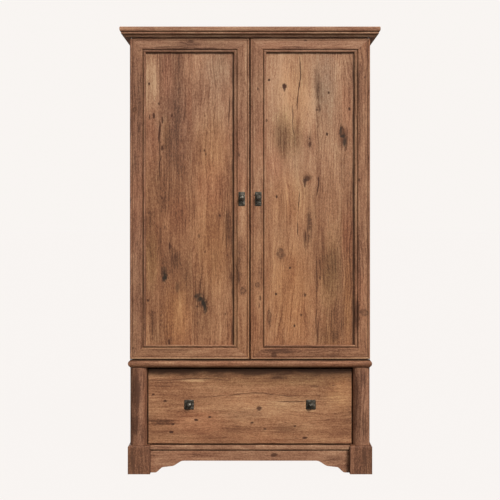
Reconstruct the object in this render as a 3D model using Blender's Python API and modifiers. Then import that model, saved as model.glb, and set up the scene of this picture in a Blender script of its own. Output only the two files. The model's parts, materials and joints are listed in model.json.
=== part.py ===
"""Oak armoire: two framed doors on pivot hinges over one drawer, with a cornice, a half-round waist
moulding, half-round corner columns and block feet.

Metres, +Z up. The front faces -Y and X runs along the width. The origin is on the floor, at the
middle of the overall footprint. Every piece is its own object; the doors and the drawer are
parented to empties that stand on their joint axes.
"""

from math import acos, asin, cos, degrees, pi, radians, sin

import bmesh
import bpy
from mathutils import Matrix, Vector

GAP = 0.0003  # clearance between touching pieces
FINE = 0.00001  # distance for welding a curve's loose caps
SMOOTH = radians(35)

# Case
BODY_X = 0.4925  # half the width over the side panels
SIDE_T = 0.018
INNER_X = BODY_X - SIDE_T
CASE_FRONT = -0.2145
BACK_Y = 0.277
SIDE_TOP = 1.7877
HOUSING = 0.006  # depth of the grooves that carry the shelves
RABBET_W, RABBET_D = 0.010, 0.007
BACK_PANEL_T = 0.004
BACK_PANEL_BOTTOM = 0.020
BOARD_T = 0.018
SHELF_Z = 1.560
SHELF_FRONT = -0.190

# Cornice, measured outwards from the case (P) and up from the floor
CORNICE_Y = -0.222  # P is 0 here in front; the doors stand 15 mm before it
SOFFIT_Z = 1.788
BED_TOP_Z = 1.8082
CAP_Z0, CAP_Z1 = 1.8085, 1.830
CAP_X = 0.533
CAP_FRONT = -0.262
CAP_ROUND_TOP, CAP_ROUND_LOW = 0.004, 0.009
FILLET_P, FILLET_Z = 0.0215, 1.793
COVE_P0, COVE_P1, COVE_Z = 0.0235, 0.0315, 1.8015
BEAD_P = 0.0345

# Waist moulding
WAIST_Z0, WAIST_Z1 = 0.4345, 0.4667
NOSE_P = 0.0075  # the nose beyond the body
NOSE_BASE_Y = -0.2375
NOSE_CROWN = 0.0014  # the crown's height over the moulding's middle
NOSE_LOW, NOSE_HIGH, NOSE_QUIRK = 0.017, 0.0105, 0.0035
RAIL_BACK_Y = -0.200

# Feet, base and columns
FOOT_X0, FOOT_X1 = 0.409, 0.500
FOOT_FRONT, FOOT_BACK = -0.250, -0.155
FOOT_TOP = 0.1157
FOOT_ROUND = 0.006
BASE_Z0, BASE_FRONT = 0.0945, -0.229
BASE_ROUND = 0.006
APRON_FRONT, APRON_T = -0.223, 0.018
COLUMN_X0, COLUMN_X1 = 0.4225, BODY_X
COLUMN_Z0, COLUMN_Z1 = 0.116, 0.4342
COLUMN_CHORD_Y, COLUMN_BULGE = -0.2150, 0.0267
POST_BACK_Y = -0.195
COLUMN_STEPS = 24

# Doors
DOOR_FRONT, DOOR_T = -0.237, 0.020
DOOR_X0, DOOR_X1 = 0.002, BODY_X
DOOR_Z0, DOOR_Z1 = 0.470, 1.785
STILE_W = 0.0645
RAIL_SHARE = 0.89  # a rail's width over a stile's
BEAD_W, BEAD_DROP = 0.0084, 0.0025
MOULD_START, MOULD_BEAD = 0.048, 0.058
PANEL_SET, PANEL_T = 0.0095, 0.007  # the panel's face below the frame's face, and its thickness
GROOVE_EDGE = 0.0555  # where a stile's groove for the panel ends
TENON_NEAR, TENON_FAR, TENON_END, TENON_T = 0.014, 0.040, 0.060, 0.007

# Pivot hinges
PIVOT_X, PIVOT_Y = 0.4865, -0.2295
LEAF_R, LEAF_LENGTH, LEAF_T = 0.004, 0.041, 0.0025
PIN_R, BOSS_R, BOSS_H = 0.0025, 0.0038, 0.0024
PIN_REACH = 0.0052  # from the fixed leaf's face to the pin's end

# Drawer
DRAWER_X, DRAWER_Z0, DRAWER_Z1 = 0.4195, 0.1185, 0.4265
DRAWER_FRONT, DRAWER_FRONT_T = -0.213, 0.020
BOX_X, BOX_SIDE_T = 0.4095, 0.012
BOX_Z0, BOX_Z1, BOX_BACK = 0.134, 0.384, 0.250
FLOOR_Z, FLOOR_T = 0.146, 0.006
FLOOR_GROOVE = 0.005

# Drawer runners
RUNNER_X0, RUNNER_X1 = 0.4098, 0.4222
RUNNER_Z, RUNNER_Y0, RUNNER_Y1 = 0.225, -0.190, 0.245
RUNNER_SHEET = 0.0012
RUNNER_OUT_Z, RUNNER_IN_Z = 0.0175, 0.011
BLOCK_Z = 0.030

# Handles
PULL_X, PULL_Z = 0.034, 1.1265
PLATE_W, PLATE_H, PLATE_T = 0.027, 0.058, 0.0025
PULL_KNOB_Z = 1.131
DRAWER_PULL_X, DRAWER_PULL_Z, ROSE_SIZE = 0.251, 0.279, 0.040
KNOB_R, KNOB_OUT, NECK_R = 0.0122, 0.024, 0.0055
STEM_R, STEM_IN = 0.0027, 0.012

# Clothes rail
ROD_R, ROD_Y, ROD_Z = 0.0125, 0.030, 1.500
SOCKET_R, CUP_R, SOCKET_T, CUP_DEPTH = 0.026, 0.0165, 0.003, 0.013

OAK = ((0.32, 0.16, 0.085), 0.55, 0.0)
PLYWOOD = ((0.50, 0.33, 0.18), 0.6, 0.0)
HARDBOARD = ((0.22, 0.13, 0.075), 0.7, 0.0)
BRONZE = ((0.045, 0.036, 0.028), 0.45, 0.85)
STEEL = ((0.55, 0.55, 0.54), 0.35, 1.0)

SIDES = (("left", -1), ("right", 1))

for old in list(bpy.data.objects):
    bpy.data.objects.remove(old, do_unlink=True)

parts = bpy.data.collections.new("armoire")
cutters = bpy.data.collections.new("cutters")
for collection in (parts, cutters):
    bpy.context.scene.collection.children.link(collection)


def turned(x_axis, y_axis):
    """The rotation that carries local X and local Y onto two world axes."""
    x, y = Vector(x_axis), Vector(y_axis)
    return Matrix((x, y, x.cross(y))).transposed().to_euler()


UPRIGHT = turned((1, 0, 0), (0, 0, 1))  # an outline drawn in X and Z, extruded along Y


def axis_empty(name, location):
    """An empty on a joint's axis."""
    empty = bpy.data.objects.new(name, None)
    empty.empty_display_size = 0.05
    empty.location = location
    parts.objects.link(empty)
    return empty


def material_for(name, look):
    """The Principled material of one piece."""
    colour, roughness, metallic = look
    material = bpy.data.materials.new(name)
    material.use_nodes = True
    shader = material.node_tree.nodes["Principled BSDF"]
    shader.inputs["Base Color"].default_value = (*colour, 1.0)
    shader.inputs["Roughness"].default_value = roughness
    shader.inputs["Metallic"].default_value = metallic
    material.diffuse_color = (*colour, 1.0)
    return material


def place(obj, location, rotation=(0, 0, 0), parent=None):
    """Puts an object at a world location, under a parent that isn't turned."""
    obj.rotation_euler = rotation
    obj.parent = parent
    obj.location = Vector(location) - (parent.location if parent else Vector((0, 0, 0)))
    return obj


def add_piece(name, mesh, look, location, rotation=(0, 0, 0), parent=None):
    """One named piece of the armoire."""
    mesh.materials.append(material_for(name, look))
    obj = bpy.data.objects.new(name, mesh)
    parts.objects.link(obj)
    return place(obj, location, rotation, parent)


def add_cutter(name, mesh, location, rotation=(0, 0, 0), parent=None):
    """A tool for a Boolean, kept out of the armoire."""
    obj = bpy.data.objects.new(name, mesh)
    obj.hide_render = True
    obj.display_type = "WIRE"
    cutters.objects.link(obj)
    return place(obj, location, rotation, parent)


def boolean(obj, tool, operation="DIFFERENCE"):
    modifier = obj.modifiers.new(tool.name, "BOOLEAN")
    modifier.operation = operation
    modifier.solver = "EXACT"
    modifier.object = tool


def box_mesh(name, size):
    """A box of the given size, centred on its origin."""
    mesh = bpy.data.meshes.new(name)
    bm = bmesh.new()
    bmesh.ops.create_cube(bm, size=1.0)
    bmesh.ops.scale(bm, vec=size, verts=bm.verts)
    bm.to_mesh(mesh)
    bm.free()
    return mesh


def span(low, high):
    """The size and centre of a box between two corners."""
    low, high = Vector(low), Vector(high)
    return high - low, (low + high) / 2


def board(name, low, high, look, parent=None, eased=0.0):
    """A plain board between two corners, with its edges eased by a small radius if asked."""
    size, centre = span(low, high)
    obj = add_piece(name, box_mesh(name, size), look, centre, parent=parent)
    if eased:
        modifier = obj.modifiers.new("eased", "BEVEL")
        modifier.width = eased
        modifier.segments = 2
    return obj


def box_cutter(name, low, high, parent=None):
    size, centre = span(low, high)
    return add_cutter(name, box_mesh(name, size), centre, parent=parent)


def outline_mesh(name, loops, thickness):
    """A flat outline, with any holes as further loops, extruded both ways from local Z = 0."""
    curve = bpy.data.curves.new(name, "CURVE")
    curve.dimensions = "2D"
    curve.fill_mode = "BOTH"
    curve.extrude = thickness / 2
    for loop in loops:
        spline = curve.splines.new("POLY")
        spline.points.add(len(loop) - 1)
        spline.use_cyclic_u = True
        for point, (x, y) in zip(spline.points, loop):
            point.co = (x, y, 0.0, 1.0)
    source = bpy.data.objects.new(name, curve)
    bpy.context.scene.collection.objects.link(source)
    evaluated = source.evaluated_get(bpy.context.evaluated_depsgraph_get())
    mesh = bpy.data.meshes.new_from_object(evaluated)
    bpy.data.objects.remove(source, do_unlink=True)
    bpy.data.curves.remove(curve)
    mesh.materials.clear()
    bm = bmesh.new()
    bm.from_mesh(mesh)
    bmesh.ops.remove_doubles(bm, verts=bm.verts, dist=FINE)
    bmesh.ops.recalc_face_normals(bm, faces=bm.faces)
    bm.to_mesh(mesh)
    bm.free()
    return mesh


def round_edges(mesh, chosen, radius, segments=6):
    """Rounds the edges for whose two ends the test holds."""
    bm = bmesh.new()
    bm.from_mesh(mesh)
    edges = [edge for edge in bm.edges if chosen(*(vertex.co for vertex in edge.verts))]
    bmesh.ops.bevel(
        bm, geom=edges, offset=radius, segments=segments, profile=0.5, affect="EDGES"
    )
    bm.to_mesh(mesh)
    bm.free()
    mesh.shade_smooth()
    mesh.set_sharp_from_angle(angle=SMOOTH)


def outline(name, loops, thickness, look, location, rotation=(0, 0, 0), parent=None):
    mesh = outline_mesh(name, loops, thickness)
    mesh.shade_smooth()
    mesh.set_sharp_from_angle(angle=SMOOTH)
    return add_piece(name, mesh, look, location, rotation, parent)


def strip_mesh(name, profile, length, low_mitre, high_mitre):
    """A moulding along local Z. A mitre of 1 lengthens that end with local X, -1 shortens it."""
    mesh = outline_mesh(name, [profile], length)
    for vertex in mesh.vertices:
        high = vertex.co.z > 0
        slope = high_mitre if high else low_mitre
        if slope:
            shift = slope * vertex.co.x - GAP * 0.75
            vertex.co.z += shift if high else -shift
    mesh.shade_smooth()
    mesh.set_sharp_from_angle(angle=SMOOTH)
    return mesh


def arc(centre, radii, start, end, steps):
    """Points of an elliptical arc, in degrees."""
    angles = [radians(start + (end - start) * i / steps) for i in range(steps + 1)]
    return [(centre[0] + radii[0] * cos(a), centre[1] + radii[1] * sin(a)) for a in angles]


def circle(centre, radius, steps=32):
    return arc(centre, (radius, radius), 0, 360 - 360 / steps, steps - 1)


def lathe(name, profile, look, location, rotation=(0, 0, 0), parent=None, steps=32):
    """A turned piece. The profile runs from the top of the axis down its outer side."""
    mesh = bpy.data.meshes.new(name)
    bm = bmesh.new()
    points = [bm.verts.new((radius, 0, height)) for radius, height in profile]
    for first, second in zip(points, points[1:]):
        bm.edges.new((first, second))
    bm.to_mesh(mesh)
    bm.free()
    obj = add_piece(name, mesh, look, location, rotation, parent)
    screw = obj.modifiers.new("turned", "SCREW")
    screw.axis = "Z"
    screw.steps = screw.render_steps = steps
    screw.use_merge_vertices = True
    screw.merge_threshold = FINE
    screw.use_smooth_shade = True
    return obj


# ---------------------------------------------------------------- case


def build_case():
    for side, sign in SIDES:
        outer, inner, rabbet = BODY_X, INNER_X, INNER_X + RABBET_W
        rabbet_y = BACK_Y - RABBET_D
        plan = [
            (outer, CASE_FRONT),
            (inner, CASE_FRONT),
            (inner, rabbet_y),
            (rabbet, rabbet_y),
            (rabbet, BACK_Y),
            (outer, BACK_Y),
        ]
        loop = [(sign * x, y) for x, y in plan]
        panel = outline(
            f"side_panel_{side}", [loop], SIDE_TOP, OAK, (0, 0, SIDE_TOP / 2)
        )
        notch = box_cutter(
            f"foot_notch_{side}",
            (sign * BODY_X - 0.05, CASE_FRONT - 0.05, -0.05),
            (sign * BODY_X + 0.05, FOOT_BACK + GAP, FOOT_TOP + GAP),
        )
        boolean(panel, notch)
        housings = (
            ("base", BASE_Z0, FOOT_TOP, FOOT_BACK + 0.005),
            ("waist", WAIST_Z1 - BOARD_T, WAIST_Z1, RAIL_BACK_Y + 0.010),
            ("shelf", SHELF_Z, SHELF_Z + BOARD_T, SHELF_FRONT + 0.010),
        )
        for label, low, high, front in housings:
            housing = box_cutter(
                f"{label}_housing_{side}",
                (sign * INNER_X - HOUSING, front - GAP, low - GAP),
                (sign * INNER_X + HOUSING, rabbet_y + 0.001, high + GAP),
            )
            boolean(panel, housing)

    tongue, shoulder = INNER_X + HOUSING - GAP, INNER_X - GAP
    back = BACK_Y - RABBET_D

    def housed_board(name, bottom, top, front):
        """A board across the case whose ends sit in the side panels' grooves."""
        half = [
            (shoulder, front),
            (shoulder, front + 0.010),
            (tongue, front + 0.010),
            (tongue, back),
        ]
        loop = half + [(-x, y) for x, y in reversed(half)]
        centre = (0, 0, (bottom + top) / 2)
        return outline(name, [loop], top - bottom, OAK, centre)

    housed_board("waist_board", WAIST_Z1 - BOARD_T, WAIST_Z1, RAIL_BACK_Y + GAP)
    housed_board("hat_shelf", SHELF_Z, SHELF_Z + BOARD_T, SHELF_FRONT)

    front_half = [
        (FOOT_X0 - GAP, BASE_FRONT),
        (FOOT_X0 - GAP, FOOT_BACK + GAP),
        (shoulder, FOOT_BACK + GAP),
        (shoulder, FOOT_BACK + 0.005),
        (tongue, FOOT_BACK + 0.005),
        (tongue, back),
    ]
    loop = front_half + [(-x, y) for x, y in reversed(front_half)]
    centre = (0, 0, (BASE_Z0 + FOOT_TOP) / 2)
    mesh = outline_mesh("bottom_board", [loop], FOOT_TOP - BASE_Z0)

    def front_edge(first, second):
        level = abs(first.z - second.z) < FINE
        return level and max(first.y, second.y) < BASE_FRONT + FINE

    round_edges(mesh, front_edge, BASE_ROUND)
    add_piece("bottom_board", mesh, OAK, centre)

    board(
        "back_panel",
        (-(INNER_X + RABBET_W - GAP), back + GAP, BACK_PANEL_BOTTOM),
        (INNER_X + RABBET_W - GAP, back + GAP + BACK_PANEL_T, SIDE_TOP - GAP),
        HARDBOARD,
    )


# ------------------------------------------------------------- cornice


def cornice_profile():
    """The bed moulding under the cap: X outwards from the body, Y up from the soffit."""
    cove = arc((COVE_P1, FILLET_Z), (COVE_P1 - COVE_P0, COVE_Z - FILLET_Z), 180, 90, 8)
    points = [
        (0.0, SOFFIT_Z),
        (FILLET_P, SOFFIT_Z),
        (FILLET_P, FILLET_Z),
        *cove,
        (COVE_P1, COVE_Z + 0.0008),
        (BEAD_P, COVE_Z + 0.0008),
        (BEAD_P, BED_TOP_Z),
        (0.0, BED_TOP_Z),
    ]
    return [(p, z - SOFFIT_Z) for p, z in points]


def build_cornice():
    top = board(
        "top_panel",
        (-(BODY_X - GAP), DOOR_FRONT + GAP, SOFFIT_Z),
        (BODY_X - GAP, BACK_Y, BED_TOP_Z),
        OAK,
    )
    profile = cornice_profile()
    mesh = strip_mesh("cornice_front", profile, 2 * BODY_X, 1, 1)
    front = add_piece(
        "cornice_moulding_front",
        mesh,
        OAK,
        (0, CORNICE_Y, SOFFIT_Z),
        turned((0, -1, 0), (0, 0, 1)),
    )
    # The front piece is planted on the top panel's edge and reaches round its corners.
    relief = box_cutter(
        "cornice_relief",
        (-BODY_X, DOOR_FRONT, SOFFIT_Z - 0.01),
        (BODY_X, CORNICE_Y + 0.01, BED_TOP_Z + 0.01),
    )
    boolean(front, relief)
    length = BACK_Y - CORNICE_Y
    for side, sign in SIDES:
        mitres = (1, 0) if sign < 0 else (0, 1)
        mesh = strip_mesh(f"cornice_{side}", profile, length, *mitres)
        add_piece(
            f"cornice_moulding_{side}",
            mesh,
            OAK,
            (sign * BODY_X, (BACK_Y + CORNICE_Y) / 2, SOFFIT_Z),
            turned((sign, 0, 0), (0, 0, 1)),
        )

    size, centre = span((-CAP_X, CAP_FRONT, CAP_Z0), (CAP_X, BACK_Y, CAP_Z1))
    mesh = box_mesh("cornice_cap", size)
    front_of_back = size.y / 2 - FINE
    for up, radius in ((1, CAP_ROUND_TOP), (-1, CAP_ROUND_LOW)):

        def outer_edge(first, second):
            level = min(up * first.z, up * second.z) > size.z / 2 - FINE
            return level and min(first.y, second.y) < front_of_back

        round_edges(mesh, outer_edge, radius)
    add_piece("cornice_cap", mesh, OAK, centre)
    return top


# --------------------------------------------------------------- waist


def nose_profile(inner):
    """The waist moulding: a round nose under a small quirk, X outwards from the body, Y up.

    A moulding that is planted on the body has only the part of the nose beyond inner.
    """
    half = (WAIST_Z1 - WAIST_Z0) / 2
    quarters = []
    for deep, high in (
        (NOSE_LOW, -half - NOSE_CROWN),
        (NOSE_HIGH, half - NOSE_CROWN - NOSE_QUIRK),
    ):
        centre = NOSE_P - deep
        end = degrees(acos(max((inner - centre) / deep, 0.0)))
        quarters.append(arc((centre, NOSE_CROWN), (deep, high), 0, end, 10))
    low, high = quarters
    nose = [*reversed(low), *high[1:]]
    if inner > 0:
        return nose
    return [(inner, -half), *nose, (nose[-1][0], half), (inner, half)]


def build_waist():
    middle = (WAIST_Z0 + WAIST_Z1) / 2
    deep = NOSE_BASE_Y - RAIL_BACK_Y
    mesh = strip_mesh("waist_front", nose_profile(deep), 2 * (BODY_X + NOSE_P), 0, 0)
    rail = add_piece(
        "waist_moulding_front",
        mesh,
        OAK,
        (0, NOSE_BASE_Y, middle),
        turned((0, -1, 0), (0, 0, 1)),
    )
    tip = NOSE_BASE_Y - NOSE_P
    for side, sign in SIDES:
        # What the front piece gives up: the mitred return, the side panel and what lies outside.
        edge = BODY_X - GAP
        plan = [
            (BODY_X + NOSE_P + 0.005 - GAP, tip - 0.005),
            (edge, NOSE_BASE_Y),
            (edge, CASE_FRONT - GAP),
            (INNER_X - GAP, CASE_FRONT - GAP),
            (INNER_X - GAP, RAIL_BACK_Y + 0.01),
            (BODY_X + 0.05, RAIL_BACK_Y + 0.01),
            (BODY_X + 0.05, tip - 0.005),
        ]
        loop = [(sign * x, y) for x, y in plan]
        tool = outline_mesh(f"waist_end_{side}", [loop], 0.06)
        boolean(rail, add_cutter(f"waist_end_{side}", tool, (0, 0, middle)))

        mitres = (1, 0) if sign < 0 else (0, 1)
        mesh = strip_mesh(
            f"waist_{side}", nose_profile(GAP), BACK_Y - NOSE_BASE_Y, *mitres
        )
        add_piece(
            f"waist_moulding_{side}",
            mesh,
            OAK,
            (sign * BODY_X, (BACK_Y + NOSE_BASE_Y) / 2, middle),
            turned((sign, 0, 0), (0, 0, 1)),
        )
    return rail


# ---------------------------------------------------------------- base


def s_curve(start, end, steps):
    """Points of an ogee between two levels, without its first point."""
    points = []
    for i in range(1, steps + 1):
        t = i / steps
        rise = (1 - cos(pi * t)) / 2
        points.append(
            (start[0] + (end[0] - start[0]) * t, start[1] + (end[1] - start[1]) * rise)
        )
    return points


def build_base():
    for side, sign in SIDES:
        xs = sorted((sign * FOOT_X0, sign * FOOT_X1))
        size, centre = span((xs[0], FOOT_FRONT, 0.0), (xs[1], FOOT_BACK, FOOT_TOP))
        mesh = box_mesh(f"foot_block_{side}", size)
        bm = bmesh.new()
        bm.from_mesh(mesh)
        top_edges = [e for e in bm.edges if min(v.co.z for v in e.verts) > 0]
        bmesh.ops.bevel(
            bm, geom=top_edges, offset=FOOT_ROUND, segments=4, profile=0.5, affect="EDGES"
        )
        bm.to_mesh(mesh)
        bm.free()
        mesh.shade_smooth()
        mesh.set_sharp_from_angle(angle=SMOOTH)
        add_piece(f"foot_block_{side}", mesh, OAK, centre)

        half = (COLUMN_X1 - COLUMN_X0) / 2
        radius = (half**2 + COLUMN_BULGE**2) / (2 * COLUMN_BULGE)
        middle = (COLUMN_X0 + COLUMN_X1) / 2
        reach = asin(half / radius) * 180 / pi
        centre_y = COLUMN_CHORD_Y - COLUMN_BULGE + radius
        bulge = arc(
            (middle, centre_y), (radius, radius), -90 - reach, -90 + reach, COLUMN_STEPS
        )
        plan = [
            *bulge,
            (COLUMN_X1, CASE_FRONT - GAP),
            (INNER_X - GAP, CASE_FRONT - GAP),
            (INNER_X - GAP, POST_BACK_Y),
            (COLUMN_X0, POST_BACK_Y),
        ]
        loop = [(sign * x, y) for x, y in plan]
        height = COLUMN_Z1 - COLUMN_Z0
        outline(
            f"column_{side}", [loop], height, OAK, (0, 0, (COLUMN_Z0 + COLUMN_Z1) / 2)
        )

    end = FOOT_X0 - GAP
    start = (end - 0.018, 0.0015)
    shoulder_low = (end - 0.053, 0.024)
    shoulder_high = (end - 0.084, 0.0275)
    arch = (end - 0.136, 0.050)
    half_edge = [(end, start[1]), start]
    half_edge += s_curve(start, shoulder_low, 10)
    half_edge += [shoulder_high]
    half_edge += s_curve(shoulder_high, arch, 10)
    top = BASE_Z0 - GAP
    right = [(end, top), *half_edge]
    loop = right + [(-x, z) for x, z in reversed(right)]
    outline(
        "apron", [loop], APRON_T, OAK, (0, APRON_FRONT + APRON_T / 2, 0), UPRIGHT
    )


# --------------------------------------------------------------- doors


def frame_profile(share):
    """A door frame member: X inwards from the door's edge, Y back from its face.

    A bead runs round the door's edge and another one, after a small chamfer, round the panel.
    """
    groove_front = PANEL_SET - GAP
    groove_back = PANEL_SET + PANEL_T + GAP
    edge_bead = arc((BEAD_W / 2, BEAD_DROP), (BEAD_W / 2, BEAD_DROP), 180, 360, 8)
    panel_bead = arc((MOULD_BEAD, 0.0042), (0.0060, 0.0028), 180, 360, 10)
    flat_start = BEAD_W + 0.0024
    profile = [
        (0.0, DOOR_T),
        *edge_bead,
        (flat_start, BEAD_DROP),
        (flat_start, 0.0004),
        (flat_start + 0.0004, 0.0),
        (MOULD_START, 0.0),
        (MOULD_START + 0.0034, 0.0030),
        (MOULD_START + 0.0034, 0.0042),
        *panel_bead,
        (STILE_W, groove_front),
        (GROOVE_EDGE, groove_front),
        (GROOVE_EDGE, groove_back),
        (STILE_W, groove_back),
        (STILE_W, DOOR_T),
    ]
    return [(x * share, y) for x, y in profile]


def leaf_loop(grow=0.0):
    """A pivot hinge leaf, with the pin at its origin and its length along -X."""
    radius = LEAF_R + grow
    far = arc((-LEAF_LENGTH, 0), (radius, radius), 90, 270, 12)
    near = arc((0, 0), (radius, radius), -90, 90, 12)
    return far + near


def build_door(side, sign, top_panel, waist_rail):
    """One door: four mitred frame members, a panel, its pull and its pivot leaves."""
    axis = axis_empty(f"door_{side}_axis", (sign * PIVOT_X, PIVOT_Y, DOOR_Z0))
    width = DOOR_X1 - DOOR_X0
    height = DOOR_Z1 - DOOR_Z0
    middle_x = sign * (DOOR_X0 + DOOR_X1) / 2
    middle_z = (DOOR_Z0 + DOOR_Z1) / 2
    stile_form = (frame_profile(1.0), -RAIL_SHARE)
    rail_form = (frame_profile(RAIL_SHARE), -1 / RAIL_SHARE)
    members = (
        ("outer_stile", stile_form, height, (sign * DOOR_X1, middle_z), (-sign, 0, 0)),
        ("inner_stile", stile_form, height, (sign * DOOR_X0, middle_z), (sign, 0, 0)),
        ("top_rail", rail_form, width, (middle_x, DOOR_Z1), (0, 0, -1)),
        ("bottom_rail", rail_form, width, (middle_x, DOOR_Z0), (0, 0, 1)),
    )
    frame = {}
    for label, (profile, mitre), length, (x, z), inwards in members:
        name = f"door_{side}_{label}"
        mesh = strip_mesh(name, profile, length, mitre, mitre)
        rotation = turned(inwards, (0, 1, 0))
        frame[label] = add_piece(name, mesh, OAK, (x, DOOR_FRONT, z), rotation, axis)

    # Each rail ends in tenons that enter the stiles behind the mitres.
    tenon_y = DOOR_FRONT + DOOR_T / 2
    for rail, edge_z, up in (("top_rail", DOOR_Z1, -1), ("bottom_rail", DOOR_Z0, 1)):
        for stile, edge_x, across in (
            ("outer_stile", sign * DOOR_X1, -sign),
            ("inner_stile", sign * DOOR_X0, sign),
        ):
            for member, operation, grow in ((rail, "UNION", 0.0), (stile, "DIFFERENCE", GAP)):
                xs = sorted(
                    (
                        edge_x + across * (TENON_NEAR - grow),
                        edge_x + across * (TENON_END + grow),
                    )
                )
                zs = sorted(
                    (
                        edge_z + up * (TENON_NEAR - grow),
                        edge_z + up * (TENON_FAR + grow),
                    )
                )
                half = TENON_T / 2 + grow
                tool = box_cutter(
                    f"door_{side}_{rail}_{stile}_{operation.lower()}",
                    (xs[0], tenon_y - half, zs[0]),
                    (xs[1], tenon_y + half, zs[1]),
                    axis,
                )
                boolean(frame[member], tool, operation)

    half_x = width / 2 - GROOVE_EDGE - 0.001
    half_z = height / 2 - GROOVE_EDGE * RAIL_SHARE - 0.001
    panel_y = DOOR_FRONT + PANEL_SET
    board(
        f"door_{side}_panel",
        (middle_x - half_x, panel_y, middle_z - half_z),
        (middle_x + half_x, panel_y + PANEL_T, middle_z + half_z),
        OAK,
        axis,
    )
    build_pivots(side, sign, axis, frame, top_panel, waist_rail)
    build_pull(side, sign, axis, frame["inner_stile"])


def build_pivots(side, sign, axis, frame, top_panel, waist_rail):
    """The leaves let into the door's ends, and the fixed leaves with their pins."""
    ends = (
        ("top", 1, DOOR_Z1, SOFFIT_Z, "top_rail", top_panel),
        ("bottom", -1, DOOR_Z0, WAIST_Z1, "bottom_rail", waist_rail),
    )
    for end, up, door_z, fixed_z, rail, carcass in ends:
        # Local X points out through the door's edge, so a leaf lies inwards from its pin.
        rotation = turned((sign, 0, 0), (0, sign * up, 0))
        leaf = [leaf_loop(), circle((0, 0), PIN_R + GAP)]
        name = f"door_{side}_{end}_leaf"
        location = (sign * PIVOT_X, PIVOT_Y, door_z - up * LEAF_T / 2)
        outline(name, leaf, LEAF_T, STEEL, location, rotation, axis)
        for member in (rail, "outer_stile"):
            depth = LEAF_T + GAP
            pocket = outline_mesh(f"{name}_pocket", [leaf_loop(GAP)], 2 * depth)
            tool = add_cutter(
                f"{name}_{member}_pocket",
                pocket,
                (sign * PIVOT_X, PIVOT_Y, door_z),
                rotation,
                axis,
            )
            boolean(frame[member], tool)

        # The fixed leaf is flush with the case; its boss keeps the door clear and its pin enters.
        name = f"fixed_{end}_leaf_{side}"
        location = (sign * PIVOT_X, PIVOT_Y, fixed_z + up * LEAF_T / 2)
        fixed = outline(name, [leaf_loop()], LEAF_T, STEEL, location, rotation)
        for label, radius, reach in (("boss", BOSS_R, BOSS_H), ("pin", PIN_R, PIN_REACH)):
            inside = LEAF_T / 2
            mesh = outline_mesh(label, [circle((0, 0), radius)], reach + inside)
            centre_z = fixed_z + up * (inside - reach) / 2
            tool = add_cutter(
                f"{name}_{label}", mesh, (sign * PIVOT_X, PIVOT_Y, centre_z), rotation
            )
            boolean(fixed, tool, "UNION")
        pocket = outline_mesh(f"{name}_pocket", [leaf_loop(GAP)], 2 * (LEAF_T + GAP))
        tool = add_cutter(
            f"{name}_pocket", pocket, (sign * PIVOT_X, PIVOT_Y, fixed_z), rotation
        )
        boolean(carcass, tool)


# ------------------------------------------------------------- handles

FORWARD = turned((1, 0, 0), (0, 0, 1))  # local Z points out of the front, towards -Y


def knob(name, location, parent):
    """A turned knob with its neck and the stem that enters the wood behind the plate."""
    dome = arc((0, KNOB_OUT - 0.0075), (KNOB_R, 0.0075), 90, 0, 8)[1:]
    under = arc((0, KNOB_OUT - 0.0095), (KNOB_R, 0.0055), 0, -60, 4)
    profile = [
        (0.0, KNOB_OUT),
        *dome,
        *under,
        (NECK_R, 0.006),
        (NECK_R + 0.002, PLATE_T + GAP),
        (STEM_R, PLATE_T + GAP),
        (STEM_R, -STEM_IN),
        (0.0, -STEM_IN),
    ]
    return lathe(name, profile, BRONZE, location, FORWARD, parent, steps=24)


def knob_bore(name, location, parent):
    """The hole in the wood that takes a knob's stem."""
    mesh = outline_mesh(name, [circle((0, 0), STEM_R + GAP, 24)], 2 * (STEM_IN + GAP))
    return add_cutter(name, mesh, location, FORWARD, parent)


def plate(name, size, holes_at, location, parent):
    """A thin backplate with softened corners and a hole for the stem."""
    half_x, half_z = size[0] / 2, size[1] / 2
    soft = 0.0012
    loop = []
    for sx, sz, start in ((1, -1, -90), (1, 1, 0), (-1, 1, 90), (-1, -1, 180)):
        corner = (sx * (half_x - soft), sz * (half_z - soft))
        loop += arc(corner, (soft, soft), start, start + 90, 3)
    loops = [loop, circle((0, holes_at), STEM_R + GAP, 24)]
    thickness = PLATE_T - GAP
    centre = (location[0], location[1] - GAP - thickness / 2, location[2])
    return outline(name, loops, thickness, BRONZE, centre, FORWARD, parent)


def build_pull(side, sign, axis, stile):
    x = sign * PULL_X
    plate(
        f"door_{side}_pull_plate",
        (PLATE_W, PLATE_H),
        PULL_KNOB_Z - PULL_Z,
        (x, DOOR_FRONT, PULL_Z),
        axis,
    )
    at = (x, DOOR_FRONT, PULL_KNOB_Z)
    knob(f"door_{side}_pull_knob", at, axis)
    boolean(stile, knob_bore(f"door_{side}_pull_bore", at, axis))


# -------------------------------------------------------------- drawer


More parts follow.
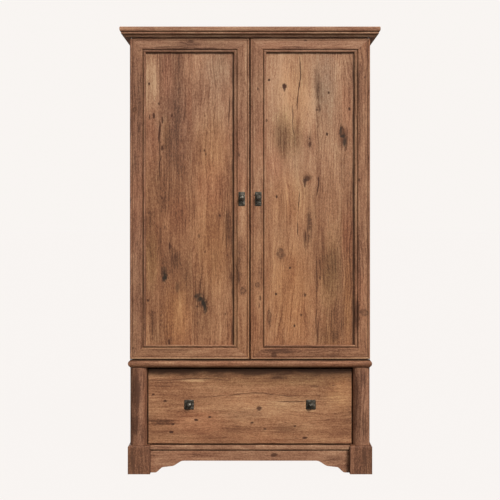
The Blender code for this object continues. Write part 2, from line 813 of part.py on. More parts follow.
def build_drawer():
    axis = axis_empty("drawer_axis", (0, DRAWER_FRONT, RUNNER_Z))
    face_back = DRAWER_FRONT + DRAWER_FRONT_T
    front = board(
        "drawer_front",
        (-DRAWER_X, DRAWER_FRONT, DRAWER_Z0),
        (DRAWER_X, face_back, DRAWER_Z1),
        OAK,
        axis,
        eased=0.002,
    )
    floor_z0, floor_z1 = FLOOR_Z, FLOOR_Z + FLOOR_T
    floor_x = BOX_X - BOX_SIDE_T + FLOOR_GROOVE
    groove = box_cutter(
        "drawer_front_groove",
        (-floor_x - GAP, face_back - FLOOR_GROOVE - GAP, floor_z0 - GAP),
        (floor_x + GAP, face_back + 0.01, floor_z1 + GAP),
        axis,
    )
    boolean(front, groove)
    board(
        "drawer_bottom",
        (-floor_x, face_back - FLOOR_GROOVE, floor_z0),
        (floor_x, BOX_BACK, floor_z1),
        PLYWOOD,
        axis,
    )
    board(
        "drawer_back",
        (-(BOX_X - BOX_SIDE_T - GAP), BOX_BACK - BOX_SIDE_T, floor_z1 + GAP),
        (BOX_X - BOX_SIDE_T - GAP, BOX_BACK, BOX_Z1),
        PLYWOOD,
        axis,
    )
    for side, sign in SIDES:
        xs = sorted((sign * (BOX_X - BOX_SIDE_T), sign * BOX_X))
        name = f"drawer_side_{side}"
        panel = board(
            name,
            (xs[0], face_back + GAP, BOX_Z0),
            (xs[1], BOX_BACK, BOX_Z1),
            PLYWOOD,
            axis,
        )
        inner = sign * (BOX_X - BOX_SIDE_T)
        tool = box_cutter(
            f"{name}_groove",
            (inner - FLOOR_GROOVE - GAP, face_back - 0.01, floor_z0 - GAP),
            (inner + FLOOR_GROOVE + GAP, BOX_BACK + 0.01, floor_z1 + GAP),
            axis,
        )
        boolean(panel, tool)

        at = (sign * DRAWER_PULL_X, DRAWER_FRONT, DRAWER_PULL_Z)
        plate(f"drawer_pull_plate_{side}", (ROSE_SIZE, ROSE_SIZE), 0.0, at, axis)
        knob(f"drawer_pull_knob_{side}", at, axis)
        boolean(front, knob_bore(f"drawer_pull_bore_{side}", at, axis))
        build_runner(side, sign, axis)


def channel_loop(base, out, half, lip, lip_out, sheet):
    """A lipped channel's section: X from its web, Y up. The lips turn by lip_out from its flanges."""
    inner, outer = half - sheet, half
    near, far = base + out * (lip - sheet), base + out * lip
    if lip_out < 0:
        end = [(near, inner), (near, inner + lip_out), (far, inner + lip_out), (far, outer)]
    else:
        end = [(far, inner), (far, outer + lip_out), (near, outer + lip_out), (near, outer)]
    upper = [(base + out * sheet, inner), *end, (base, outer)]
    return upper + [(x, -y) for x, y in reversed(upper)]


def build_runner(side, sign, axis):
    """A side-hung runner: the fixed channel, the channel on the drawer and their packing block."""
    length = RUNNER_Y1 - RUNNER_Y0
    centre = (0, (RUNNER_Y0 + RUNNER_Y1) / 2, RUNNER_Z)
    fixed = channel_loop(
        RUNNER_X1, -1, RUNNER_OUT_Z, 0.0092, -0.0028, RUNNER_SHEET
    )
    moving = channel_loop(
        RUNNER_X0, 1, RUNNER_IN_Z, 0.0090, 0.0045, RUNNER_SHEET
    )
    for name, section, parent in (
        (f"runner_fixed_{side}", fixed, None),
        (f"runner_moving_{side}", moving, axis),
    ):
        loop = [(sign * x, z) for x, z in section]
        outline(name, [loop], length, STEEL, centre, UPRIGHT, parent)
    xs = sorted((sign * (RUNNER_X1 + GAP), sign * (INNER_X - GAP)))
    board(
        f"runner_block_{side}",
        (xs[0], POST_BACK_Y + GAP, RUNNER_Z - BLOCK_Z),
        (xs[1], RUNNER_Y1 + 0.010, RUNNER_Z + BLOCK_Z),
        PLYWOOD,
    )


# -------------------------------------------------------- clothes rail


def build_clothes_rail():
    for side, sign in SIDES:
        face = sign * (INNER_X - GAP)
        floor = SOCKET_T
        profile = [
            (0.0, floor),
            (ROD_R + GAP * 2, floor),
            (ROD_R + GAP * 2, CUP_DEPTH),
            (CUP_R, CUP_DEPTH),
            (CUP_R, floor),
            (SOCKET_R, floor - 0.001),
            (SOCKET_R, 0.0),
            (0.0, 0.0),
        ]
        lathe(
            f"rod_socket_{side}",
            profile,
            STEEL,
            (face, ROD_Y, ROD_Z),
            turned((0, 0, sign), (0, 1, 0)),
        )
    reach = INNER_X - 2 * GAP - SOCKET_T
    profile = [
        (0.0, reach),
        (ROD_R, reach),
        (ROD_R, -reach),
        (0.0, -reach),
    ]
    lathe("hanging_rod", profile, STEEL, (0, ROD_Y, ROD_Z), turned((0, 0, -1), (0, 1, 0)))


build_case()
cornice_top = build_cornice()
waist = build_waist()
build_base()
for door_side, door_sign in SIDES:
    build_door(door_side, door_sign, cornice_top, waist)
build_drawer()
build_clothes_rail()
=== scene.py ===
import json
import math
import random

import bmesh
import bpy
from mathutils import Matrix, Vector, noise

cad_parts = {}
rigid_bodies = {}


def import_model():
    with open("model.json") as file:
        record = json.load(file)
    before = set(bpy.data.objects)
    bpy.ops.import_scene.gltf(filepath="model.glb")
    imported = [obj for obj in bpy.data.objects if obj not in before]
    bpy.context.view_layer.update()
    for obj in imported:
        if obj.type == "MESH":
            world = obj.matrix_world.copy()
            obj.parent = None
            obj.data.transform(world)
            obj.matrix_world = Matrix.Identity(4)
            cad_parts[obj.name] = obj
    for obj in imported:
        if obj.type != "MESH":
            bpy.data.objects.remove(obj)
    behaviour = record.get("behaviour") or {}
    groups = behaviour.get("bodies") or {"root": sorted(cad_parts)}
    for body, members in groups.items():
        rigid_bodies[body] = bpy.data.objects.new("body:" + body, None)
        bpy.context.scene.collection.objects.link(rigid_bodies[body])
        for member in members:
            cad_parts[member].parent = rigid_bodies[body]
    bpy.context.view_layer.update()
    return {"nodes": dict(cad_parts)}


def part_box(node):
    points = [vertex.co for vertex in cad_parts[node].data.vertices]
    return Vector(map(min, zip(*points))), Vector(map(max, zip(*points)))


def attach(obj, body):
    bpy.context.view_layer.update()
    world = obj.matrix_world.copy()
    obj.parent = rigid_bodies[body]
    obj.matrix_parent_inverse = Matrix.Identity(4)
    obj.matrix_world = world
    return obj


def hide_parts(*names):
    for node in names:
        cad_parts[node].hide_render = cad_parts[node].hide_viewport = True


for old in list(bpy.data.objects):
    bpy.data.objects.remove(old, do_unlink=True)

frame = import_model()
NODES = frame["nodes"]

EYE_HEIGHT = 1.077
EYE_DISTANCE = 5.0  # from the doors' faces
VIEW_WIDTH = 2.05  # metres across the picture at the doors
SENSOR = 36.0
PICTURE_MIDDLE_Z = 0.917
CLIP_END = 200.0

SOFTENED = ("drawer_front", "hat_shelf", "waist_board", "apron")
SOFT_EDGE = 0.0012

# ------------------------------------------------------------ node trees


class Tree:
    """Short calls for the nodes of one material."""

    def __init__(self, name):
        self.material = bpy.data.materials.new(name)
        self.material.use_nodes = True
        self.tree = self.material.node_tree
        self.shader = self.tree.nodes["Principled BSDF"]

    def node(self, kind, **settings):
        made = self.tree.nodes.new(kind)
        for key, value in settings.items():
            setattr(made, key, value)
        return made

    def plug(self, socket, value):
        if isinstance(value, bpy.types.NodeSocket):
            self.tree.links.new(value, socket)
        elif value is not None:
            socket.default_value = value

    def math(self, operation, a, b=None, c=None, clamp=False):
        made = self.node("ShaderNodeMath", operation=operation, use_clamp=clamp)
        for socket, value in zip(made.inputs, (a, b, c)):
            self.plug(socket, value)
        return made.outputs[0]

    def vector(self, operation, a, b=None):
        made = self.node("ShaderNodeVectorMath", operation=operation)
        self.plug(made.inputs[0], a)
        self.plug(made.inputs[1], b)
        return made.outputs["Value" if operation in ("LENGTH", "DOT_PRODUCT") else "Vector"]

    def combine(self, x, y, z):
        made = self.node("ShaderNodeCombineXYZ")
        for socket, value in zip(made.inputs, (x, y, z)):
            self.plug(socket, value)
        return made.outputs[0]

    def noise(self, place, detail=2.0, roughness=0.5):
        made = self.node("ShaderNodeTexNoise")
        self.plug(made.inputs["Vector"], place)
        made.inputs["Scale"].default_value = 1.0
        made.inputs["Detail"].default_value = detail
        made.inputs["Roughness"].default_value = roughness
        return made.outputs["Fac"]

    def smooth(self, value, low, high, first=0.0, last=1.0, kind="SMOOTHSTEP"):
        made = self.node("ShaderNodeMapRange", interpolation_type=kind)
        for socket, number in zip(made.inputs, (value, low, high, first, last)):
            self.plug(socket, number)
        return made.outputs[0]

    def ramp(self, value, stops):
        made = self.node("ShaderNodeValToRGB")
        elements = made.color_ramp.elements
        while len(elements) < len(stops):
            elements.new(0.5)
        for element, (position, colour) in zip(elements, stops):
            element.position = position
            if isinstance(colour, float):
                colour = (colour, colour, colour)
            element.color = (*colour, 1.0)
        self.plug(made.inputs[0], value)
        return made.outputs[0]

    def mix(self, factor, a, b, blend="MIX"):
        made = self.node("ShaderNodeMix", data_type="RGBA", blend_type=blend)
        self.plug(made.inputs[0], factor)
        for socket, value in ((made.inputs[6], a), (made.inputs[7], b)):
            if isinstance(value, tuple):
                value = (*value, 1.0)
            self.plug(socket, value)
        return made.outputs[2]

    def bump(self, height, strength, distance):
        made = self.node("ShaderNodeBump")
        made.inputs["Strength"].default_value = strength
        made.inputs["Distance"].default_value = distance
        self.plug(made.inputs["Height"], height)
        self.plug(self.shader.inputs["Normal"], made.outputs[0])


# ------------------------------------------------------------------ wood

# The wood's colours, from the palest to the darkest, then what stains it, and the dark of the lines
# that hold stain and painted shade.
PALE = (0.490, 0.275, 0.142)
TAN = (0.378, 0.190, 0.094)
MID = (0.288, 0.131, 0.063)
RED = (0.204, 0.083, 0.039)
DARK = (0.108, 0.042, 0.020)
BARK = (0.075, 0.032, 0.017)
HOLE = (0.066, 0.024, 0.012)
KNOT = (0.024, 0.016, 0.010)
# The dark of the lines: stain gathered in grooves, and painted shade in gaps, under overhangs and
# beside beads.
GLAZE_AND_SHADE = (0.044, 0.017, 0.007)
STAIN = (0.32, 0.38, 0.40)
TINTS = {
    "grey": (0.91, 0.97, 1.03),
    "gold": (1.06, 1.00, 0.87),
    "rose": (1.04, 0.91, 0.92),
    "olive": (0.93, 1.00, 0.91),
    "cool": (1.00, 1.08, 1.28),
}
TONES = ((0.0, DARK), (0.22, RED), (0.45, MID), (0.68, TAN), (0.98, PALE))
MEAN_TONE = 0.43

# The noises: steps per metre across and along, detail, roughness.
BLOTCH = (21.0, 6.0, 4.0, 0.62)
STREAK = (62.0, 3.4, 3.0, 0.60)
FIBRE = (190.0, 11.0, 3.0, 0.65)
FLECK = (280.0, 150.0, 2.0, 0.60)
PORES = (900.0, 60.0, 1.0, 0.50)
PITS = (75.0, 26.0, 2.0, 0.55)
HUE = (8.0, 2.4, 3.0, 0.55)  # greener to redder wood
WANDER = (6.0, 1.6, 2.0, 0.5)  # the way the grain leaves the straight
PATCHES = (9.0, 2.6, 2.0, 0.5)  # where the figure shows
RIPPLES = (70.0, 18.0, 2.0, 0.5)  # in the figure
RAGGED = (110.0, 62.0, 3.0, 0.65)  # the edges of marks
BREAKS = (40.0, 16.0, 2.0, 0.5)  # in cracks
# LINE_NOISE makes the dark lines uneven, both the gathered stain and the painted shade.
LINE_NOISE = (26.0, 11.0, 3.0, 0.6)  # stain in grooves
# How far each scale of the grain moves the tone, and how far a board's own marks do.
BLOTCH_WEIGHT = 0.80
STREAK_WEIGHT = 0.66
FIBRE_WEIGHT = 0.80
FLECK_WEIGHT = 1.05
FIGURE_WEIGHT = 0.34
SHADE_WEIGHT = 0.55
SHADE_FIGURE = 1.6  # how much a full shade brings out the figure
SHADE_STAIN = 0.62  # how much of STAIN a full shade takes

GRAIN_DRIFT = 0.040  # metres that the grain wanders sideways, per unit of noise
BAND_WANDER = 0.006
CRACK_WANDER = 0.010
FIGURE_LINES, FIGURE_BEND, FIGURE_RIPPLE = 480.0, 46.0, 7.0  # radians per metre, per unit of noise
JOINT_SHIFT = 3.7  # places neighbouring boards far apart in the noise
SEAM_EDGE, SEAM_CORE, SEAM_STRENGTH = 0.0016, 0.0005, 0.30
THINNEST_CRACK = 0.00005
GREENER, REDDER = (0.94, 0.99, 0.98), (1.04, 0.97, 0.94)
RING_RAGGEDNESS, PATCH_RAGGEDNESS = 2.4, 1.2
# Spots: raggedness, where the edge begins and is full as shares of the half-size, colour.
SPOTS = {"hole": (1.3, 1.15, 0.55, HOLE), "black": (2.2, 1.75, 0.35, KNOT)}
SPECULAR = 0.22
BUMP_STRENGTH, BUMP_DISTANCE = 0.40, 0.0007
DRAWER_STREAKS = 0.66


class Board(Tree):
    """The nodes of one oak board."""

    def __init__(self, name, axes, seed, joints):
        super().__init__(name)
        split = self.node("ShaderNodeSeparateXYZ")
        self.plug(split.inputs[0], self.node("ShaderNodeTexCoord").outputs["Object"])
        self.axis = {"X": split.outputs[0], "Y": split.outputs[1], "Z": split.outputs[2]}
        self.across, depth, self.along = (self.axis[letter] for letter in axes)
        self.seed, self.joints = seed, joints
        rng = random.Random(seed * 101 + 7)
        offset = tuple(rng.uniform(-20, 20) for _ in range(3))
        for joint in joints:
            depth = self.added(depth, self.math("GREATER_THAN", self.across, joint), JOINT_SHIFT)
        self.straight = self.vector("ADD", self.combine(self.across, depth, self.along), offset)
        self.wander = self.field(WANDER)

    def added(self, value, other, weight):
        return self.math("MULTIPLY_ADD", other, weight, value)

    def tint(self, share, colour, blend="MIX"):
        self.colour = self.mix(share, self.colour, colour, blend)

    def field(self, grain, place=None):
        """Noise about zero, along the board or where place says."""
        across, along, detail, roughness = grain
        place = self.straight if place is None else place
        scaled = self.vector("MULTIPLY", place, (across, across, along))
        return self.math("SUBTRACT", self.noise(scaled, detail, roughness), 0.5)

    def read_marks(self, marks):
        """Sorts all marks but the cracks by what they change. Knots push the grain aside."""
        self.spots, self.rings, self.halos = [], [], []
        self.shades, self.lights, self.tints = [], [], []
        ragged = self.field(RAGGED)
        drift = self.math("MULTIPLY", self.wander, GRAIN_DRIFT)
        flat = self.combine(self.across, 0.0, self.along)
        for kind, at_across, at_along, size_across, size_along, strength, *_ in marks:
            if kind == "crack":
                continue
            away = self.vector("SUBTRACT", flat, (at_across, 0.0, at_along))
            scaled = self.vector("MULTIPLY", away, (1 / size_across, 0.0, 1 / size_along))
            radius = self.vector("LENGTH", scaled)
            if kind in SPOTS:
                raggedness, begins, full, colour = SPOTS[kind]
                rough = self.added(radius, ragged, raggedness)
                self.spots.append((self.smooth(rough, begins, full, 0.0, strength), colour))
            elif kind == "ring":
                rough = self.added(radius, ragged, RING_RAGGEDNESS)
                edge = self.smooth(rough, 1.2, 0.8, 0.0, strength)
                heart = self.smooth(rough, 0.8, 0.35, 0.0, 0.65)
                self.rings.append((edge, heart))
                self.halos.append(self.smooth(radius, 2.3, 0.8, 0.0, strength))
                push = self.smooth(radius, 3.0, 0.4, 0.0, -0.6)
                drift = self.added(drift, self.math("SUBTRACT", self.across, at_across), push)
            else:
                uneven = self.added(radius, ragged, PATCH_RAGGEDNESS)
                area = self.smooth(uneven, 1.3, 0.25, 0.0, strength)
                if kind in TINTS:
                    self.tints.append((area, TINTS[kind]))
                else:
                    (self.shades if kind == "shade" else self.lights).append(area)
        self.flowing = self.vector("ADD", self.straight, self.combine(drift, 0.0, 0.0))

    def draw_grain(self, tone, bands, streaks):
        """The wood's colour, from its grain, its bands and its shaded and lighter patches."""
        self.fibre = self.field(FIBRE, self.flowing)
        self.fleck = self.field(FLECK, self.flowing)
        value = self.added(MEAN_TONE + tone, self.field(BLOTCH), BLOTCH_WEIGHT)
        value = self.added(value, self.field(STREAK, self.flowing), STREAK_WEIGHT * streaks)
        value = self.added(value, self.fibre, FIBRE_WEIGHT)
        value = self.added(value, self.fleck, FLECK_WEIGHT)
        if bands:
            low, high = bands[0][0], bands[-1][0]
            uneven = self.added(self.across, self.wander, BAND_WANDER)
            level = self.smooth(uneven, low, high, kind="LINEAR")
            stops = [((position - low) / (high - low), shade) for position, shade in bands]
            value = self.math("ADD", value, self.math("SUBTRACT", self.ramp(level, stops), 0.5))
        shaded = 0.0
        for shade in self.shades:
            value = self.added(value, shade, -SHADE_WEIGHT)
            shaded = self.added(shaded, shade, SHADE_FIGURE)
        for light in self.lights:
            value = self.math("ADD", value, light)

        # The dark figure of the growth rings, strongest where the board is shaded.
        patch = self.smooth(self.field(PATCHES), -0.06, 0.14, 0.10, 0.75)
        outwards = self.vector("DOT_PRODUCT", self.flowing, (1.0, 0.6, 0.0))
        bent = self.added(self.math("MULTIPLY", outwards, FIGURE_LINES), self.wander, FIGURE_BEND)
        bent = self.added(bent, self.field(RIPPLES), FIGURE_RIPPLE)
        figure = self.smooth(self.math("SINE", bent), 0.35, 0.98)
        figure = self.math("MULTIPLY", figure, self.math("ADD", patch, shaded), clamp=True)
        value = self.added(value, figure, -FIGURE_WEIGHT * streaks)

        self.colour = self.ramp(value, TONES)
        hue = self.field(HUE, self.flowing)
        self.tint(self.smooth(hue, 0.0, 0.22), GREENER, "MULTIPLY")
        self.tint(self.smooth(hue, 0.0, -0.22), REDDER, "MULTIPLY")

    def draw_stains(self):
        for shade in self.shades:
            self.tint(self.math("MULTIPLY", shade, SHADE_STAIN), STAIN, "MULTIPLY")
        for area, colour in self.tints:
            self.tint(area, colour, "MULTIPLY")
        for joint in self.joints:
            seam = self.math("ABSOLUTE", self.math("SUBTRACT", self.across, joint))
            self.tint(self.smooth(seam, SEAM_EDGE, SEAM_CORE, 0.0, SEAM_STRENGTH), DARK)

    def draw_pores(self):
        pores = self.smooth(self.field(PORES, self.flowing), 0.07, 0.17, 0.0, 0.55)
        pits = self.smooth(self.field(PITS), 0.235, 0.275, 0.0, 0.85)
        self.tint(pores, DARK)
        self.tint(pits, DARK)
        self.height = self.added(self.math("MULTIPLY", pores, -0.8), self.fibre, 0.9)
        self.height = self.added(self.height, self.fleck, 0.6)
        self.height = self.added(self.height, pits, -1.2)

    def draw_knots(self):
        for halo in self.halos:
            self.tint(self.math("MULTIPLY", halo, 0.50), RED)
        for edge, heart in self.rings:
            self.tint(self.math("MULTIPLY", edge, self.math("SUBTRACT", 1.0, heart)), BARK)
            self.height = self.added(self.height, edge, -0.8)
        for spot, colour in self.spots:
            self.tint(spot, colour)
            self.height = self.added(self.height, spot, -1.6)

    def draw_cracks(self, marks):
        """Ragged lines along the grain, thinner towards their ends."""
        for mark in marks:
            if mark[0] != "crack":
                continue
            _, at_across, at_along, width, length, strength, lean, bow = mark
            reach = self.math("DIVIDE", self.math("SUBTRACT", self.along, at_along), length)
            path = self.added(at_across, reach, lean)
            path = self.added(path, self.math("MULTIPLY", reach, reach), bow)
            place = self.combine(self.seed, at_across * 90, self.math("MULTIPLY", self.along, 24.0))
            waver = self.math("SUBTRACT", self.noise(place, 3.0, 0.6), 0.5)
            path = self.added(path, waver, CRACK_WANDER)
            distance = self.math("ABSOLUTE", self.math("SUBTRACT", self.across, path))
            ends = self.math("POWER", self.math("ABSOLUTE", reach), 3.0)
            taper = self.math("SUBTRACT", 1.0, ends, clamp=True)
            broken = self.smooth(self.field(BREAKS), -0.16, 0.10, 0.35, 1.0)
            edge = self.math("MULTIPLY", self.math("MULTIPLY", taper, broken), width)
            cut = self.math("DIVIDE", distance, self.math("MAXIMUM", edge, THINNEST_CRACK))
            crack = self.smooth(cut, 1.0, 0.45, 0.0, strength)
            self.tint(crack, HOLE)
            self.height = self.added(self.height, crack, -3.0)

    def draw_glaze_and_shade(self, lines):
        # Dark lines along an axis: stain gathered in grooves, and painted shade in gaps, under
        # overhangs and beside beads.
        line_noise = self.field(LINE_NOISE) if lines else None
        for letter, position, half_width, strength in lines:
            distance = self.math("ABSOLUTE", self.math("SUBTRACT", self.axis[letter], position))
            wavering_distance = self.added(distance, line_noise, half_width * 1.6)
            dark_line = self.smooth(wavering_distance, half_width * 1.20, half_width * 0.2, 0.0, strength)
            self.tint(dark_line, GLAZE_AND_SHADE)

    def finished(self):
        roughness = self.smooth(self.fibre, -0.2, 0.2, 0.66, 0.50, "LINEAR")
        self.plug(self.shader.inputs["Base Color"], self.colour)
        self.plug(self.shader.inputs["Roughness"], roughness)
        self.shader.inputs["Specular IOR Level"].default_value = SPECULAR
        self.bump(self.height, BUMP_STRENGTH, BUMP_DISTANCE)
        return self.material


def oak(name, axes, marks=(), bands=None, tone=0.0, lines=(), seed=0, joints=(), streaks=1.0):
    """Knotty oak. axes names the object axes that run across, into and along the board.

    marks are listed features, bands the board's tone at positions across it, lines the dark
    lines of gathered stain and of painted shade, and joints the places across where boards are
    glued.
    streaks below 1 make the grain calmer.
    """
    board = Board(name, axes, seed, joints)
    board.read_marks(marks)
    board.draw_grain(tone, bands, streaks)
    board.draw_stains()
    board.draw_pores()
    board.draw_knots()
    board.draw_cracks(marks)
    board.draw_glaze_and_shade(lines)
    return board.finished()


def dress(name, material):
    """Gives a CAD node its material."""
    for entry in NODES[name].material_slots:
        entry.material = material


# The marks: kind, place across, place along, half-size across, half-size along, strength.
# A crack has its half-width and half-length there, and after its strength its lean and bow.
# A light with a strength below zero darkens, without the stain of a shade.
LEFT_PANEL_MARKS = (
    ("black", -0.350, 0.803, 0.010, 0.015, 1.0),
    ("black", -0.353, 0.826, 0.010, 0.018, 0.6),
    ("black", -0.298, 0.765, 0.008, 0.020, 0.45),
    ("black", -0.218, 0.726, 0.010, 0.008, 0.9),
    ("black", -0.203, 0.714, 0.013, 0.010, 1.0),
    ("black", -0.190, 0.700, 0.009, 0.016, 1.0),
    ("black", -0.184, 0.680, 0.006, 0.019, 0.9),
    ("black", -0.205, 0.734, 0.016, 0.006, 0.5),
    ("hole", -0.216, 0.684, 0.008, 0.0045, 0.8),
    ("hole", -0.207, 0.694, 0.005, 0.008, 0.6),
    ("light", -0.203, 0.728, 0.005, 0.004, 0.5),
    ("shade", -0.190, 0.690, 0.024, 0.036, 0.22),
    ("hole", -0.330, 0.932, 0.0048, 0.020, 1.0),
    ("hole", -0.333, 0.540, 0.0055, 0.016, 1.0),
    ("hole", -0.124, 1.058, 0.004, 0.006, 1.0),
    ("hole", -0.362, 1.130, 0.004, 0.009, 0.8),
    ("hole", -0.210, 0.974, 0.005, 0.009, 0.7),
    ("hole", -0.185, 0.909, 0.004, 0.006, 0.6),
    ("hole", -0.419, 0.709, 0.0045, 0.006, 1.0),
    ("hole", -0.415, 1.599, 0.0045, 0.0065, 1.0),
    ("hole", -0.374, 1.517, 0.004, 0.008, 0.9),
    ("hole", -0.321, 1.470, 0.005, 0.0095, 1.0),
    ("hole", -0.361, 1.335, 0.005, 0.012, 1.0),
    ("hole", -0.188, 1.325, 0.0035, 0.006, 0.9),
    ("hole", -0.181, 1.309, 0.0035, 0.006, 0.9),
    ("hole", -0.350, 1.010, 0.0035, 0.010, 0.6),
    ("hole", -0.412, 1.462, 0.0035, 0.012, 0.9),
    ("hole", -0.395, 1.468, 0.0055, 0.015, 1.0),
    ("hole", -0.360, 1.450, 0.004, 0.016, 0.9),
    ("crack", -0.372, 1.400, 0.0056, 0.050, 1.0, 0.002, 0.0),
    ("crack", -0.370, 1.330, 0.0034, 0.045, 0.85, 0.001, 0.0),
    ("crack", -0.372, 1.255, 0.0044, 0.052, 1.0, 0.002, 0.006),
    ("crack", -0.086, 1.490, 0.0042, 0.070, 0.75, 0.004, 0.0),
    ("crack", -0.082, 1.350, 0.003, 0.060, 0.5, -0.004, 0.0),
    ("crack", -0.246, 1.310, 0.0024, 0.060, 0.5, 0.001, 0.0),
    ("shade", -0.298, 1.430, 0.020, 0.110, 0.24),
    ("shade", -0.322, 1.260, 0.046, 0.150, 0.17),
    ("shade", -0.320, 1.090, 0.034, 0.110, 0.13),
    ("shade", -0.350, 1.100, 0.026, 0.070, 0.16),
    ("shade", -0.300, 1.620, 0.034, 0.100, 0.14),
    ("shade", -0.300, 1.700, 0.060, 0.070, 0.14),
    ("shade", -0.322, 0.870, 0.028, 0.070, 0.16),
    ("shade", -0.352, 0.850, 0.014, 0.060, 0.24),
    ("shade", -0.402, 0.610, 0.014, 0.080, 0.26),
    ("shade", -0.385, 0.560, 0.016, 0.070, 0.16),
    ("shade", -0.100, 1.010, 0.020, 0.090, 0.16),
    ("light", -0.410, 1.620, 0.026, 0.120, 0.3),
    ("light", -0.395, 1.600, 0.010, 0.130, 0.14),
    ("light", -0.410, 1.290, 0.040, 0.120, -0.06),
    ("light", -0.285, 0.640, 0.044, 0.120, 0.22),
    ("shade", -0.395, 0.760, 0.018, 0.200, 0.1),
    # Painted shadow of the stile along the panel's right edge, in patches.
    ("shade", -0.066, 1.400, 0.010, 0.150, 0.32),
    ("shade", -0.064, 1.020, 0.014, 0.130, 0.34),
    ("shade", -0.062, 0.780, 0.008, 0.100, 0.3),
    ("light", -0.425, 0.560, 0.012, 0.090, 0.18),
    ("light", -0.090, 0.680, 0.012, 0.090, 0.16),
    ("light", -0.160, 1.480, 0.050, 0.110, 0.1),
    ("light", -0.220, 1.670, 0.130, 0.110, 0.18),
    ("light", -0.160, 1.400, 0.060, 0.300, 0.1),
    ("shade", -0.085, 0.900, 0.035, 0.420, 0.14),
    ("grey", -0.300, 1.420, 0.060, 0.180, 0.9),
    ("olive", -0.410, 1.620, 0.036, 0.150, 0.3),
    ("rose", -0.340, 1.640, 0.032, 0.120, 0.6),
    ("rose", -0.405, 1.350, 0.036, 0.120, 0.4),
    ("olive", -0.345, 1.400, 0.022, 0.080, 0.7),
    ("olive", -0.405, 0.880, 0.034, 0.140, 1.0),
    ("gold", -0.300, 0.640, 0.070, 0.160, 1.0),
    ("gold", -0.160, 1.330, 0.080, 0.160, 0.8),
    ("gold", -0.150, 0.920, 0.080, 0.200, 0.7),
    ("rose", -0.150, 1.180, 0.070, 0.100, 0.5),
    ("grey", -0.130, 1.650, 0.080, 0.100, 0.7),
    ("rose", -0.300, 1.060, 0.060, 0.100, 0.5),
    ("light", -0.236, 0.640, 0.006, 0.140, 0.22),
    ("light", -0.390, 1.600, 0.008, 0.110, 0.25),
    ("light", -0.424, 1.590, 0.006, 0.130, 0.22),
    ("shade", -0.410, 0.950, 0.035, 0.400, 0.12),
    ("cool", -0.250, 1.620, 0.600, 0.420, 0.85),
    ("shade", -0.301, 0.880, 0.018, 0.045, 0.26),
    ("shade", -0.090, 1.005, 0.013, 0.080, 0.34),
    ("shade", -0.076, 0.806, 0.010, 0.032, 0.45),
    ("crack", -0.100, 1.035, 0.0022, 0.060, 0.5, 0.006, 0.0),
    ("crack", -0.083, 0.985, 0.0026, 0.055, 0.6, -0.004, 0.0),
    ("crack", -0.112, 0.965, 0.002, 0.035, 0.5, 0.004, 0.0),
    ("light", -0.390, 0.920, 0.050, 0.240, -0.08),
    ("light", -0.260, 0.740, 0.070, 0.220, -0.06),
    ("light", -0.140, 0.820, 0.070, 0.260, 0.06),
    ("shade", -0.335, 0.880, 0.040, 0.110, 0.1),
    ("shade", -0.205, 0.740, 0.045, 0.110, 0.12),
)
